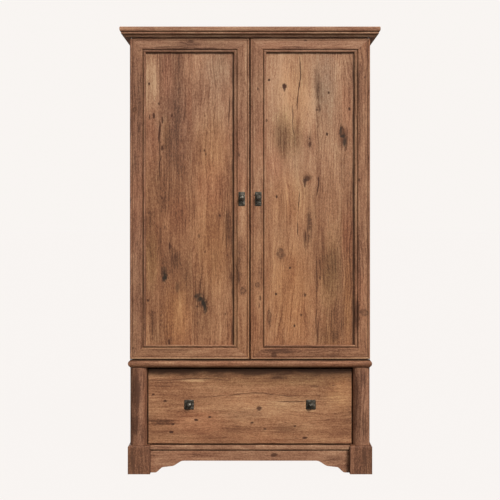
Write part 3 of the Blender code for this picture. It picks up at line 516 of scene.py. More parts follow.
RIGHT_PANEL_MARKS = (
    ("hole", 0.141, 1.590, 0.011, 0.012, 1.0),
    ("hole", 0.142, 1.580, 0.006, 0.014, 0.8),
    ("hole", 0.234, 1.210, 0.014, 0.013, 0.85),
    ("black", 0.226, 1.204, 0.006, 0.008, 0.5),
    ("hole", 0.225, 1.190, 0.0055, 0.018, 0.85),
    ("ring", 0.236, 1.213, 0.017, 0.0165, 0.45),
    ("ring", 0.128, 0.902, 0.015, 0.020, 0.7),
    ("hole", 0.132, 0.896, 0.006, 0.008, 0.4),
    ("shade", 0.128, 0.890, 0.017, 0.036, 0.18),
    ("shade", 0.347, 0.562, 0.014, 0.030, 0.35),
    ("ring", 0.080, 0.640, 0.008, 0.030, 0.7),
    ("shade", 0.077, 0.630, 0.010, 0.050, 0.34),
    ("crack", 0.207, 1.650, 0.0028, 0.078, 0.95, -0.001, -0.007),
    ("crack", 0.1955, 1.548, 0.0029, 0.066, 0.95, 0.005, 0.005),
    ("crack", 0.176, 1.455, 0.003, 0.070, 0.8, -0.002, 0.0),
    ("crack", 0.182, 1.375, 0.0026, 0.040, 0.7, -0.004, 0.0),
    ("crack", 0.200, 1.110, 0.0034, 0.055, 0.9, 0.004, 0.0),
    ("crack", 0.195, 1.020, 0.0034, 0.055, 0.9, -0.002, 0.0),
    ("crack", 0.280, 1.185, 0.0042, 0.048, 1.0, 0.006, 0.0),
    ("hole", 0.281, 1.206, 0.004, 0.010, 0.9),
    ("crack", 0.273, 0.610, 0.003, 0.080, 0.7, -0.002, 0.0),
    ("crack", 0.246, 1.370, 0.0022, 0.050, 0.6, 0.002, 0.004),
    ("hole", 0.078, 1.615, 0.005, 0.006, 1.0),
    ("hole", 0.323, 1.562, 0.0045, 0.007, 1.0),
    ("hole", 0.408, 1.496, 0.0055, 0.008, 1.0),
    ("hole", 0.316, 1.393, 0.005, 0.008, 1.0),
    ("hole", 0.109, 1.135, 0.005, 0.008, 1.0),
    ("hole", 0.068, 1.448, 0.0045, 0.007, 0.9),
    ("hole", 0.164, 0.843, 0.0045, 0.006, 1.0),
    ("hole", 0.107, 0.736, 0.0055, 0.006, 1.0),
    ("hole", 0.226, 0.732, 0.005, 0.009, 0.9),
    ("hole", 0.210, 0.650, 0.0045, 0.006, 0.8),
    ("hole", 0.183, 0.605, 0.005, 0.007, 1.0),
    ("hole", 0.288, 0.802, 0.0035, 0.010, 0.8),
    ("hole", 0.244, 1.374, 0.0035, 0.005, 0.9),
    ("hole", 0.247, 1.350, 0.006, 0.013, 0.8),
    ("shade", 0.244, 1.360, 0.012, 0.030, 0.4),
    ("ring", 0.377, 1.402, 0.011, 0.023, 1.0),
    ("black", 0.373, 1.410, 0.0035, 0.020, 0.75),
    ("black", 0.382, 1.384, 0.008, 0.006, 0.75),
    ("black", 0.389, 1.360, 0.006, 0.020, 0.8),
    ("shade", 0.384, 1.380, 0.020, 0.048, 0.35),
    ("light", 0.390, 1.425, 0.010, 0.020, 0.25),
    ("shade", 0.274, 1.600, 0.015, 0.080, 0.4),
    ("shade", 0.288, 1.565, 0.018, 0.060, 0.35),
    ("grey", 0.290, 1.600, 0.050, 0.150, 1.0),
    ("hole", 0.274, 1.492, 0.007, 0.0035, 0.8),
    ("hole", 0.287, 1.492, 0.004, 0.011, 0.6),
    ("shade", 0.281, 1.500, 0.016, 0.018, 0.3),
    ("grey", 0.330, 1.600, 0.035, 0.200, 0.8),
    ("gold", 0.190, 1.560, 0.080, 0.180, 0.7),
    ("gold", 0.170, 0.720, 0.100, 0.250, 0.8),
    ("gold", 0.170, 1.120, 0.090, 0.120, 0.6),
    ("olive", 0.325, 0.800, 0.048, 0.170, 0.9),
    ("olive", 0.330, 0.560, 0.050, 0.080, 0.7),
    ("gold", 0.402, 0.700, 0.022, 0.220, 0.9),
    ("rose", 0.400, 0.980, 0.030, 0.120, 0.6),
    ("rose", 0.100, 1.270, 0.040, 0.080, 0.6),
    ("crack", 0.272, 0.760, 0.0018, 0.200, 0.6, 0.003, 0.0),
    ("shade", 0.138, 1.380, 0.034, 0.085, 0.26),
    ("olive", 0.140, 1.390, 0.050, 0.110, 0.9),
    ("shade", 0.190, 1.370, 0.024, 0.070, 0.14),
    ("olive", 0.195, 1.380, 0.030, 0.080, 0.6),
    ("shade", 0.240, 1.035, 0.010, 0.060, 0.6),
    ("shade", 0.232, 0.965, 0.016, 0.045, 0.55),
    ("shade", 0.250, 1.000, 0.006, 0.070, 0.45),
    ("crack", 0.239, 1.030, 0.003, 0.045, 0.6, 0.003, 0.0),
    ("crack", 0.226, 0.930, 0.0024, 0.035, 0.5, -0.004, 0.0),
    ("shade", 0.335, 0.830, 0.040, 0.120, 0.2),
    ("shade", 0.345, 0.620, 0.045, 0.120, 0.16),
    ("shade", 0.280, 0.560, 0.050, 0.060, 0.12),
    ("shade", 0.380, 1.240, 0.016, 0.080, 0.18),
    ("shade", 0.384, 1.370, 0.020, 0.060, 0.22),
    ("shade", 0.130, 1.110, 0.020, 0.100, 0.1),
    ("light", 0.115, 1.520, 0.060, 0.110, 0.12),
    ("light", 0.240, 1.480, 0.030, 0.120, 0.12),
    ("light", 0.160, 0.700, 0.080, 0.140, 0.1),
    ("light", 0.350, 1.680, 0.040, 0.060, 0.08),
    ("light", 0.190, 1.630, 0.170, 0.240, 0.22),
    ("light", 0.336, 1.440, 0.050, 0.330, 0.14),
    ("shade", 0.405, 0.880, 0.048, 0.420, 0.2),
    ("shade", 0.280, 0.900, 0.045, 0.280, 0.16),
    ("cool", 0.250, 1.560, 0.600, 0.560, 0.75),
    ("light", 0.160, 1.580, 0.110, 0.180, 0.05),
    ("light", 0.365, 1.600, 0.080, 0.180, 0.09),
    ("light", 0.350, 1.260, 0.090, 0.200, 0.12),
    ("light", 0.160, 1.260, 0.100, 0.160, 0.05),
    ("light", 0.160, 0.700, 0.100, 0.180, -0.07),
    # Painted shadow of the stile along the panel's right edge, in patches.
    ("shade", 0.430, 1.560, 0.008, 0.140, 0.3),
    ("shade", 0.430, 0.980, 0.010, 0.160, 0.28),
)
DRAWER_MARKS = (
    ("crack", 0.313, -0.150, 0.0026, 0.060, 0.8, 0.006, 0.0),
    ("crack", 0.325, -0.020, 0.003, 0.085, 0.9, 0.006, -0.004),
    ("crack", 0.320, 0.110, 0.0026, 0.070, 0.9, -0.008, 0.0),
    ("crack", 0.291, 0.170, 0.0028, 0.070, 0.9, 0.001, 0.0),
    ("crack", 0.380, -0.330, 0.0024, 0.090, 0.7, 0.003, 0.0),
    ("crack", 0.386, -0.190, 0.003, 0.110, 0.8, -0.004, -0.004),
    ("hole", 0.321, -0.398, 0.0045, 0.007, 0.9),
    ("hole", 0.294, -0.350, 0.0055, 0.008, 1.0),
    ("hole", 0.199, -0.317, 0.0045, 0.008, 1.0),
    ("hole", 0.166, -0.325, 0.0065, 0.009, 1.0),
    ("hole", 0.216, -0.222, 0.006, 0.009, 1.0),
    ("hole", 0.228, -0.165, 0.005, 0.008, 1.0),
    ("hole", 0.204, 0.008, 0.0045, 0.008, 1.0),
    ("hole", 0.179, 0.062, 0.0045, 0.007, 0.9),
    ("hole", 0.191, 0.185, 0.0045, 0.007, 0.9),
    ("hole", 0.142, 0.225, 0.0045, 0.012, 1.0),
    ("hole", 0.263, 0.038, 0.010, 0.013, 0.9),
    ("hole", 0.355, 0.265, 0.005, 0.026, 0.45),
    ("shade", 0.183, -0.062, 0.018, 0.060, 0.26),
    ("shade", 0.181, 0.152, 0.020, 0.070, 0.36),
    ("shade", 0.212, -0.370, 0.007, 0.075, 0.45),
    ("shade", 0.200, -0.355, 0.007, 0.060, 0.4),
    # Part of a darker band along the drawer's top: painted shade under the waist moulding, with the
    # wood's own darker tone.
    ("shade", 0.395, 0.100, 0.030, 0.400, 0.12),
    ("shade", 0.350, -0.380, 0.030, 0.060, 0.12),
    ("shade", 0.255, -0.120, 0.016, 0.050, 0.1),
    ("light", 0.378, -0.235, 0.006, 0.070, 0.6),
    ("light", 0.150, -0.270, 0.009, 0.080, 0.28),
    ("light", 0.345, -0.170, 0.020, 0.120, 0.1),
    ("light", 0.290, 0.350, 0.060, 0.060, 0.1),
    ("light", 0.210, -0.250, 0.020, 0.050, 0.12),
    ("light", 0.250, 0.080, 0.085, 0.280, 0.24),
    ("light", 0.240, -0.370, 0.030, 0.060, 0.12),
    ("shade", 0.155, -0.330, 0.030, 0.120, 0.16),
    ("shade", 0.394, 0.120, 0.013, 0.050, 0.32),
    ("shade", 0.178, 0.020, 0.010, 0.050, 0.24),
    ("light", 0.330, 0.385, 0.070, 0.045, 0.16),
    ("light", 0.136, 0.330, 0.008, 0.090, 0.2),
    ("light", 0.300, 0.200, 0.060, 0.120, 0.08),
    ("light", 0.160, 0.360, 0.040, 0.100, -0.18),
    ("light", 0.230, 0.330, 0.060, 0.120, -0.06),
    ("light", 0.400, -0.380, 0.030, 0.060, 0.14),
    # Greener tint along the drawer's top: painted shade under the waist moulding, with the wood's
    # own hue.
    ("olive", 0.385, 0.120, 0.035, 0.400, 0.6),
    ("gold", 0.330, 0.380, 0.090, 0.070, 0.6),
    ("rose", 0.200, -0.220, 0.060, 0.130, 0.5),
    ("grey", 0.240, -0.020, 0.025, 0.110, 0.6),
)
# Tone at places across a panel; 0.5 changes nothing.
LEFT_BANDS = (
    (-0.444, 0.53), (-0.373, 0.53), (-0.371, 0.42), (-0.300, 0.40), (-0.239, 0.43),
    (-0.237, 0.50), (-0.160, 0.52), (-0.100, 0.58), (-0.051, 0.54),
)
RIGHT_BANDS = (
    (0.051, 0.62), (0.085, 0.68), (0.150, 0.64), (0.270, 0.68), (0.272, 0.57),
    (0.350, 0.54), (0.376, 0.54), (0.378, 0.58), (0.444, 0.50),
)
JOINTS = {"left": (-0.372, -0.238), "right": (0.271, 0.377)}

FRAME_MARKS = {
    "door_left_outer_stile": (
        ("cool", -0.470, 1.300, 0.500, 1.200, 0.90),
        ("ring", -0.473, 1.493, 0.007, 0.011, 0.9),
        ("hole", -0.455, 1.409, 0.004, 0.013, 0.9),
        ("hole", -0.452, 1.430, 0.003, 0.011, 0.6),
        ("shade", -0.470, 1.270, 0.014, 0.050, 0.30),
        ("shade", -0.455, 1.500, 0.012, 0.150, 0.22),
        ("hole", -0.480, 0.515, 0.004, 0.006, 1.0),
        ("hole", -0.462, 0.945, 0.003, 0.012, 0.6),
        ("light", -0.470, 1.400, 0.020, 0.060, 0.10),
    ),
    "door_left_inner_stile": (
        ("cool", -0.030, 1.600, 0.500, 0.700, 0.80),
        ("hole", -0.045, 1.307, 0.005, 0.008, 0.8),
        ("shade", -0.054, 1.640, 0.008, 0.080, 0.35),
        ("shade", -0.049, 0.830, 0.012, 0.055, 0.45),
        ("hole", -0.046, 0.800, 0.004, 0.030, 0.7),
        ("ring", -0.027, 0.750, 0.011, 0.014, 0.8),
        ("shade", -0.040, 0.930, 0.012, 0.060, 0.20),
        ("light", -0.028, 1.100, 0.012, 0.160, 0.16),
        ("light", -0.022, 0.600, 0.010, 0.080, 0.12),
    ),
    "door_right_inner_stile": (
        ("cool", 0.030, 1.600, 0.500, 0.700, 0.80),
        ("hole", 0.033, 1.577, 0.004, 0.008, 0.9),
        ("ring", 0.029, 0.774, 0.009, 0.010, 0.8),
        ("hole", 0.042, 0.720, 0.004, 0.012, 0.8),
        ("hole", 0.038, 0.690, 0.004, 0.012, 0.6),
        ("shade", 0.045, 0.830, 0.012, 0.080, 0.30),
        ("shade", 0.047, 1.060, 0.010, 0.100, 0.20),
        ("hole", 0.020, 1.141, 0.005, 0.004, 0.9),
        ("light", 0.030, 1.400, 0.015, 0.120, 0.10),
    ),
    "door_right_outer_stile": (
        ("cool", 0.470, 1.300, 0.500, 1.200, 0.60),
        ("light", 0.450, 1.150, 0.011, 2.500, -0.16),
        ("hole", 0.447, 1.204, 0.005, 0.008, 0.8),
        ("ring", 0.467, 0.659, 0.016, 0.014, 0.7),
        # Partly painted shade beside the bead on the stile's shaded side, partly dark wood.
        ("shade", 0.439, 0.650, 0.013, 0.080, 0.85),
        ("shade", 0.443, 1.640, 0.008, 0.090, 0.35),
        ("shade", 0.444, 0.900, 0.008, 0.120, 0.25),
        ("hole", 0.470, 1.625, 0.004, 0.005, 0.7),
    ),
    "door_left_top_rail": (
        ("cool", 1.760, -0.250, 0.500, 2.000, 1.0),
        ("hole", 1.772, -0.243, 0.008, 0.014, 0.7),
        ("shade", 1.762, -0.250, 0.014, 0.060, 0.30),
        ("crack", 1.750, -0.330, 0.0040, 0.080, 0.6, 0.003, 0.0),
        ("crack", 1.741, -0.230, 0.0050, 0.090, 0.8, 0.001, 0.0),
        ("shade", 1.742, -0.260, 0.008, 0.160, 0.35),
    ),
    "door_right_top_rail": (
        ("cool", 1.760, 0.250, 0.500, 2.000, 1.0),
        ("light", 1.770, 0.250, 0.100, 1.200, 0.18),
        ("hole", 1.776, 0.228, 0.004, 0.008, 0.8),
        ("shade", 1.744, 0.190, 0.008, 0.100, 0.40),
        ("shade", 1.745, 0.330, 0.006, 0.070, 0.25),
    ),
    "door_left_bottom_rail": (
        ("cool", 0.500, -0.250, 0.500, 2.000, 0.35),
        # Painted highlight along the door's lower edge bead.
        ("light", 0.4715, -0.250, 0.0034, 4.000, 0.65),
        ("shade", 0.506, -0.330, 0.008, 0.080, 0.20),
        ("light", 0.500, -0.250, 0.010, 0.100, 0.10),
    ),
    "door_right_bottom_rail": (
        ("cool", 0.500, 0.250, 0.500, 2.000, 0.35),
        # Painted highlight along the door's lower edge bead.
        ("light", 0.4715, 0.250, 0.0034, 4.000, 0.65),
        ("light", 0.500, 0.250, 0.100, 1.200, -0.08),
        ("hole", 0.487, 0.098, 0.010, 0.014, 0.8),
        ("shade", 0.500, 0.130, 0.012, 0.080, 0.40),
        ("shade", 0.505, 0.330, 0.012, 0.100, 0.18),
        ("shade", 0.494, 0.240, 0.008, 0.070, 0.12),
    ),
}
PLAIN_MARKS = {
    "cornice_cap": (("cool", 0.0, 0.0, 3.0, 4.0, 1.0),),
    "cornice_moulding_front": (("cool", 1.8, 0.0, 1.0, 4.0, 0.9),),
    "waist_moulding_front": (("cool", 0.45, 0.0, 1.0, 4.0, 0.5),),
    "bottom_board": (("cool", 0.0, 0.0, 3.0, 4.0, 1.0), ("olive", 0.0, 0.0, 3.0, 4.0, 0.3)),
    "apron": (
        ("cool", 0.076, 0.0, 1.0, 4.0, 0.8),
        ("hole", 0.074, 0.099, 0.009, 0.014, 0.9),
        ("shade", 0.076, -0.180, 0.012, 0.110, 0.20),
        ("shade", 0.060, 0.340, 0.016, 0.050, 0.22),
        ("light", 0.060, -0.380, 0.016, 0.040, 0.16),
    ),
    "column_left": (
        ("cool", -0.46, 0.200, 1.0, 2.0, 1.0),
        ("shade", -0.466, 0.330, 0.022, 0.080, 0.45),
        ("shade", -0.470, 0.200, 0.020, 0.050, 0.45),
        ("shade", -0.440, 0.160, 0.018, 0.040, 0.16),
        ("hole", -0.463, 0.212, 0.003, 0.014, 0.7),
        ("light", -0.445, 0.280, 0.012, 0.080, 0.14),
    ),
    "column_right": (
        ("cool", 0.46, 0.200, 1.0, 2.0, 1.0),
        ("shade", 0.440, 0.280, 0.018, 0.120, 0.35),
        ("shade", 0.470, 0.200, 0.018, 0.060, 0.30),
        ("shade", 0.460, 0.390, 0.020, 0.040, 0.30),
        ("crack", 0.462, 0.250, 0.0026, 0.100, 0.6, 0.006, 0.0),
        ("crack", 0.445, 0.200, 0.0022, 0.080, 0.5, 0.008, 0.0),
    ),
    "foot_block_left": (
        ("cool", -0.46, 0.200, 1.0, 2.0, 0.7),
        ("crack", -0.434, 0.060, 0.0022, 0.075, 0.7, 0.0, 0.0),
        ("shade", -0.482, 0.060, 0.006, 0.050, 0.30),
        ("hole", -0.428, 0.055, 0.003, 0.008, 0.6),
    ),
    "foot_block_right": (
        ("cool", 0.46, 0.200, 1.0, 2.0, 0.7),
        ("crack", 0.455, 0.050, 0.0020, 0.060, 0.5, 0.002, 0.0),
        ("shade", 0.470, 0.060, 0.010, 0.050, 0.20),
    ),
}

# Painted shade in the gaps between parts, under overhangs and in recesses, and the waist moulding's
# painted shadow in the wide band at the drawer's top: object axis, place, half-width, strength.
WAIST_SHADE_LINES = (("Z", 0.4654, 0.0054, 0.95), ("Z", 0.4335, 0.0050, 0.45))
PAINTED_SHADE_LINES = {
    "waist_moulding_front": WAIST_SHADE_LINES,
    "waist_moulding_left": WAIST_SHADE_LINES,
    "waist_moulding_right": WAIST_SHADE_LINES,
    "bottom_board": (("Z", 0.1164, 0.0026, 1.0), ("Z", 0.0945, 0.0016, 0.95)),
    "apron": (("Z", 0.0935, 0.0034, 1.0),),
    "cornice_cap": (("Z", 1.8090, 0.0045, 0.62),),
    "cornice_moulding_front": (("Z", 1.7995, 0.0040, 0.62), ("Z", 1.7892, 0.0016, 1.0)),
    "drawer_front": (
        ("X", -0.4200, 0.0022, 0.80),
        ("X", 0.4200, 0.0030, 0.80),
        ("Z", 0.1180, 0.0022, 1.0),
        # The wide band is the painted shadow of the waist moulding on the drawer front.
        ("Z", 0.4290, 0.0430, 0.93),
    ),
    "column_left": (("X", -0.4220, 0.0018, 0.80),),
    "column_right": (("X", 0.4220, 0.0018, 0.80),),
}
RAIL_SHARE = 0.89  # a rail's width as a share of a stile's


def frame_glaze_and_shade_lines(letter, edge, inwards, share=1.0):
    """Dark lines of a stile (letter X) or rail (Z), from its outer edge inwards: gathered stain and
    painted shade.
    """
    stile = letter == "X"
    step = inwards * share
    if inwards > 0:
        # Lit sides: the outer groove, and painted shade on the bead's flank turned from the light.
        places = ((0.0105, 0.0016, 0.45), (0.0545 if stile else 0.0558, 0.0031, 0.90))
    else:
        # Sides turned from the light: the grooves, the bead in painted shade, and its painted
        # shadow on the panel.
        places = (
            (0.0097, 0.0018, 0.65 if stile else 0.10),
            (0.0519, 0.0022, 0.80),
            (0.0580, 0.0050, 0.22 if stile else 0.34),
            (0.0644, 0.0016, 0.90),
        )
    return tuple((letter, edge + step * place, wide, strength) for place, wide, strength in places)


PANEL_MARKS = {"left": LEFT_PANEL_MARKS, "right": RIGHT_PANEL_MARKS}
PANEL_BANDS = {"left": LEFT_BANDS, "right": RIGHT_BANDS}
STILE_TONES = {
    ("left", "outer"): -0.10,
    ("left", "inner"): 0.06,
    ("right", "outer"): 0.07,
    ("right", "inner"): 0.02,
}
# Painted shade in the gap between the doors, drawn as a dark line on each inner stile's edge.
GAP_SHADE_WIDTHS = {"left": 0.0024, "right": 0.0006}  # half-width of the dark line between the doors
# The remaining boards: name, axes across, into and along, tone, seed.
BOARDS = (
    ("cornice_cap", "YZX", 0.12, 51),
    ("cornice_moulding_front", "ZYX", 0.10, 52),
    ("cornice_moulding_left", "ZXY", 0.0, 53),
    ("cornice_moulding_right", "ZXY", 0.0, 54),
    ("top_panel", "YZX", -0.05, 55),
    ("waist_moulding_front", "ZYX", -0.07, 56),
    ("waist_moulding_left", "ZXY", 0.0, 57),
    ("waist_moulding_right", "ZXY", 0.0, 58),
    ("waist_board", "YZX", 0.0, 59),
    ("hat_shelf", "YZX", 0.0, 60),
    ("bottom_board", "YZX", 0.08, 61),
    ("apron", "ZYX", 0.02, 62),
    ("foot_block_left", "XYZ", -0.30, 63),
    ("foot_block_right", "XYZ", -0.30, 64),
    ("column_left", "XYZ", -0.22, 65),
    ("column_right", "XYZ", -0.09, 66),
    ("side_panel_left", "YXZ", 0.0, 67),
    ("side_panel_right", "YXZ", 0.0, 68),
)


def build_doors():
    for number, side in enumerate(("left", "right")):
        door = f"door_{side}"
        low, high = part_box(f"{door}_panel")
        # Painted shade along the panel's edges: a thin line at its left edge, and the frame's
        # painted shadow along its right and top edges.
        panel_shadow_lines = (
            ("X", low[0] + 0.0080, 0.0020, 0.30),
            ("X", high[0] - 0.0080, 0.0085, 0.90),
            ("Z", high[2] - 0.0070, 0.0080, 0.75),
        )
        marks, bands, seed = PANEL_MARKS[side], PANEL_BANDS[side], 11 + number
        name = f"{door}_panel"
        dress(name, oak(f"oak_{name}", "XYZ", marks, bands, 0.0, panel_shadow_lines, seed, JOINTS[side]))
        for label in ("outer", "inner"):
            name = f"{door}_{label}_stile"
            low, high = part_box(name)
            out = high[0] if (side == "right") == (label == "outer") else low[0]
            inwards = -1 if out == high[0] else 1
            lines = frame_glaze_and_shade_lines("X", out, inwards)
            # Painted shade in the gap between the doors.
            if label == "inner":
                lines += (("X", out - inwards * 0.0004, GAP_SHADE_WIDTHS[side], 1.0),)
            marks, tone = FRAME_MARKS[name], STILE_TONES[side, label]
            seed = 21 + number * 5 + len(label)
            dress(name, oak(f"oak_{name}", "XYZ", marks, None, tone, lines, seed))
        for label, up in (("top", -1), ("bottom", 1)):
            name = f"{door}_{label}_rail"
            low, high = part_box(name)
            edge = high[2] if up < 0 else low[2]
            lines = frame_glaze_and_shade_lines("Z", edge, up, RAIL_SHARE)
            seed = 31 + number * 5 + up
            dress(name, oak(f"oak_{name}", "ZYX", FRAME_MARKS[name], None, 0.0, lines, seed))


def build_boards():
    lines = PAINTED_SHADE_LINES["drawer_front"]
    calm = oak(
        "oak_drawer_front", "ZYX", DRAWER_MARKS, None, 0.02, lines, 41, streaks=DRAWER_STREAKS
    )
    dress("drawer_front", calm)
    for name, axes, tone, seed in BOARDS:
        marks = PLAIN_MARKS.get(name, ())
        lines = PAINTED_SHADE_LINES.get(name, ())
        dress(name, oak(f"oak_{name}", axes, marks, None, tone, lines, seed))


def build_plain_materials():
    """Plywood, hardboard and metals."""

    def speckled(name, colour, other, roughness, scale, metallic=0.0, bump=0.15):
        t = Tree(name)
        source = t.node("ShaderNodeTexCoord").outputs["Object"]
        grain = t.noise(t.vector("MULTIPLY", source, scale), 3.0, 0.6)
        t.plug(t.shader.inputs["Base Color"], t.mix(t.smooth(grain, 0.3, 0.7), colour, other))
        t.plug(t.shader.inputs["Roughness"], t.smooth(grain, 0.2, 0.8, roughness, roughness * 0.75))
        t.shader.inputs["Metallic"].default_value = metallic
        t.bump(grain, bump, 0.0004)
        return t.material

    plywood = speckled(
        "plywood", (0.52, 0.36, 0.21), (0.42, 0.27, 0.14), 0.6, (9.0, 14.0, 190.0)
    )
    hardboard = speckled(
        "hardboard", (0.28, 0.169, 0.097), (0.212, 0.127, 0.072), 0.75, (30.0, 30.0, 24.0), bump=0.3
    )
    steel = speckled(
        "zinc_steel", (0.56, 0.56, 0.55), (0.44, 0.44, 0.45), 0.38, (220.0, 30.0, 220.0), 1.0
    )
    bright = speckled(
        "bright_steel", (0.66, 0.66, 0.66), (0.58, 0.58, 0.58), 0.20, (9.0, 400.0, 400.0), 1.0, 0.05
    )
    plywood_names = ("drawer_back", "drawer_bottom", "drawer_side", "runner_block")
    for name in NODES:
        if "leaf" in name or name.startswith(("runner_fixed", "runner_moving")):
            dress(name, steel)
        elif name.startswith(("rod_socket", "hanging_rod")):
            dress(name, bright)
        elif name.startswith(plywood_names):
            dress(name, plywood)
        elif name == "back_panel":
            dress(name, hardboard)


# ----------------------------------------------------------------- pulls


def skin(name, rings):
    """A mesh over closed rings of points, its first ring drawn together at a middle point."""
    bm = bmesh.new()
    rows = [[bm.verts.new(point) for point in ring] for ring in rings]
    count = len(rows[0])
    middle = sum((vertex.co for vertex in rows[0]), Vector()) / count
    tip = bm.verts.new(middle)
    for i in range(count):
        bm.faces.new((tip, rows[0][i], rows[0][(i + 1) % count]))
    for inner, outer in zip(rows, rows[1:]):
        for i in range(count):
            j = (i + 1) % count
            bm.faces.new((inner[i], outer[i], outer[j], inner[j]))
    bm.faces.new(list(reversed(rows[-1])))
    bmesh.ops.recalc_face_normals(bm, faces=bm.faces)
    mesh = bpy.data.meshes.new(name)
    bm.to_mesh(mesh)
    bm.free()
    for polygon in mesh.polygons:
        polygon.use_smooth = len(polygon.vertices) < 5
    piece = bpy.data.objects.new(name, mesh)
    bpy.context.scene.collection.objects.link(piece)
    return piece


def dent(point, size):
    """Overlapping hammer marks: 0 in the middle of a mark, towards 1 at the ridges."""
    distances = noise.voronoi(point / size)[0]
    return min(distances[0] / max(distances[1], 1e-6), 1.0)


PATINA = (
    (0.30, (0.022, 0.018, 0.013)),
    (0.55, (0.060, 0.052, 0.040)),
    (0.75, (0.16, 0.145, 0.12)),
)
RUBBED_BRONZE = (0.22, 0.20, 0.165)
PLATE_POINTS, PLATE_RINGS = 120, 26
KNOB_POINTS, KNOB_DOME_RINGS, KNOB_BACK_RINGS = 72, 24, 8
KNOB_INSET = 0.0002
DOME = 0.0085  # height of the knob's dome
BACK = 0.0050  # height of its back, from the widest place to the stem
STEM = ((0.0056, 0.0075), (0.0058, 0.0045), (0.0078, 0.0026))  # radius, height above the plate
STEM_TOP = 0.011  # no hammer marks below this height
PLATE_DENT, KNOB_DENT = 0.0075, 0.0085  # size of a hammer mark
KNOB_CUT = 0.0011  # depth of a hammer mark
DIMPLE_X, DIMPLE_Z, DIMPLE_DEPTH, DIMPLE_SIZE = -0.002, 0.003, 0.0014, 0.0022


def finish_pull(piece, node, body, bronze):
    piece.data.materials.append(bronze)
    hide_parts(node)
    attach(piece, body)


def hammered_plate(node, body, bronze):
    """A plate whose rings go from round in its middle to nearly square at its edge."""
    low, high = (Vector(corner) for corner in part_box(node))
    middle, half = (low + high) / 2, (high - low) / 2
    thick = high.y - low.y
    rings = []
    for step in range(1, PLATE_RINGS + 1):
        size = step / PLATE_RINGS
        ring = []
        for i in range(PLATE_POINTS):
            angle = 2 * math.pi * (i + 0.5) / PLATE_POINTS
            c, n = math.cos(angle), math.sin(angle)
            power = 2 / (2 + 12 * size)
            x = math.copysign(abs(c) ** power, c) * half.x * size
            z = math.copysign(abs(n) ** power, n) * half.z * size
            at = Vector((middle.x + x, 0.0, middle.z + z))
            # The edge slopes away, and the hammer marks fade out towards it.
            lift = 1.0 - 0.50 * size**7
            lift -= 0.30 * (1.0 - dent(at, PLATE_DENT)) * (1.0 - size**10)
            ring.append((at.x, high.y - thick * lift, at.z))
        rings.append(ring)
    rings.append([(x, high.y, z) for x, _, z in rings[-1]])
    finish_pull(skin(f"{node}.hammered", rings), node, body, bronze)


def hammered_knob(node, body, bronze):
    """A domed knob on a short stem, with hammer marks and one deeper dimple."""
    low, high = (Vector(corner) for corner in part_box(node))
    centre_x, centre_z = (low.x + high.x) / 2, (low.z + high.z) / 2
    radius = (high.x - low.x) / 2 - KNOB_INSET
    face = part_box(node.replace("knob", "plate"))[1][1]
    out = face - low.y
    profile = []
    for step in range(1, KNOB_DOME_RINGS + 1):
        angle = math.radians(90 * step / KNOB_DOME_RINGS)
        profile.append((radius * math.sin(angle), out - DOME + DOME * math.cos(angle)))
    for step in range(1, KNOB_BACK_RINGS + 1):
        angle = math.radians(75 * step / KNOB_BACK_RINGS)
        profile.append((radius * math.cos(angle) ** 0.7, out - DOME - BACK * math.sin(angle)))
    profile += STEM
    rings = []
    for r, height in profile:
        ring = []
        for i in range(KNOB_POINTS):
            angle = 2 * math.pi * i / KNOB_POINTS
            x, z = r * math.cos(angle), r * math.sin(angle)
            at = Vector((centre_x + x, height, centre_z + z))
            cut = KNOB_CUT * (1.0 - dent(at, KNOB_DENT)) if height > STEM_TOP else 0.0
            away = (x - DIMPLE_X) ** 2 + (z - DIMPLE_Z) ** 2
            dimple = DIMPLE_DEPTH * math.exp(-away / DIMPLE_SIZE**2)
            shrink = 1.0 - cut / max(radius, 1e-6)
            depth = face - (height - cut * 0.7 - dimple)
            ring.append((centre_x + x * shrink, depth, centre_z + z * shrink))
        rings.append(ring)
    finish_pull(skin(f"{node}.hammered", rings), node, body, bronze)


def build_pulls():
    t = Tree("dark_bronze")
    source = t.node("ShaderNodeTexCoord").outputs["Object"]
    patina = t.noise(t.vector("MULTIPLY", source, (260.0, 260.0, 260.0)), 4.0, 0.65)
    rubbed = t.noise(t.vector("MULTIPLY", source, (90.0, 90.0, 90.0)), 2.0, 0.5)
    colour = t.ramp(patina, PATINA)
    colour = t.mix(t.smooth(rubbed, 0.50, 0.70, 0.0, 0.6), colour, RUBBED_BRONZE)
    t.plug(t.shader.inputs["Base Color"], colour)
    t.plug(t.shader.inputs["Roughness"], t.smooth(patina, 0.3, 0.7, 0.52, 0.34, "LINEAR"))
    t.shader.inputs["Metallic"].default_value = 0.75
    t.bump(patina, 0.5, 0.0003)
    pulls = [(f"door_{side}_pull", "", f"door_{side}") for side in ("left", "right")]
    pulls += [("drawer_pull", f"_{side}", "drawer") for side in ("left", "right")]
    for stem, ending, body in pulls:
        hammered_plate(f"{stem}_plate{ending}", body, t.material)
        hammered_knob(f"{stem}_knob{ending}", body, t.material)


def soften(names, width):
    """Takes the sharpness off the edges of plain boards."""
    for name in names:
        obj = NODES[name]
        weld = obj.modifiers.new("weld", "WELD")
        weld.merge_threshold = 0.00002
        bevel = obj.modifiers.new("soft", "BEVEL")
        bevel.width = width
        bevel.segments = 2
        bevel.limit_method = "ANGLE"
        bevel.angle_limit = math.radians(50)
        bevel.use_clamp_overlap = True


# ---------------------------------------------------------------- studio


FLOOR_RADIUS = 60.0
FLOOR_DROP = 0.0005
FLOOR_GLOW = (0.966, 0.930, 0.906, 1.0)
FLOOR_GLOW_SHARE = 0.97  # the rest of what the camera sees of the floor is lit by the lights
FLOOR_COLOUR = (0.20, 0.19, 0.18, 1.0)
WORLD_LIGHT = (1.0, 0.985, 0.965, 1.0)
WORLD_STRENGTH = 0.29
WORLD_SEEN = (0.945, 0.912, 0.886, 1.0)
SUN_COLOUR = (1.0, 0.985, 0.96)
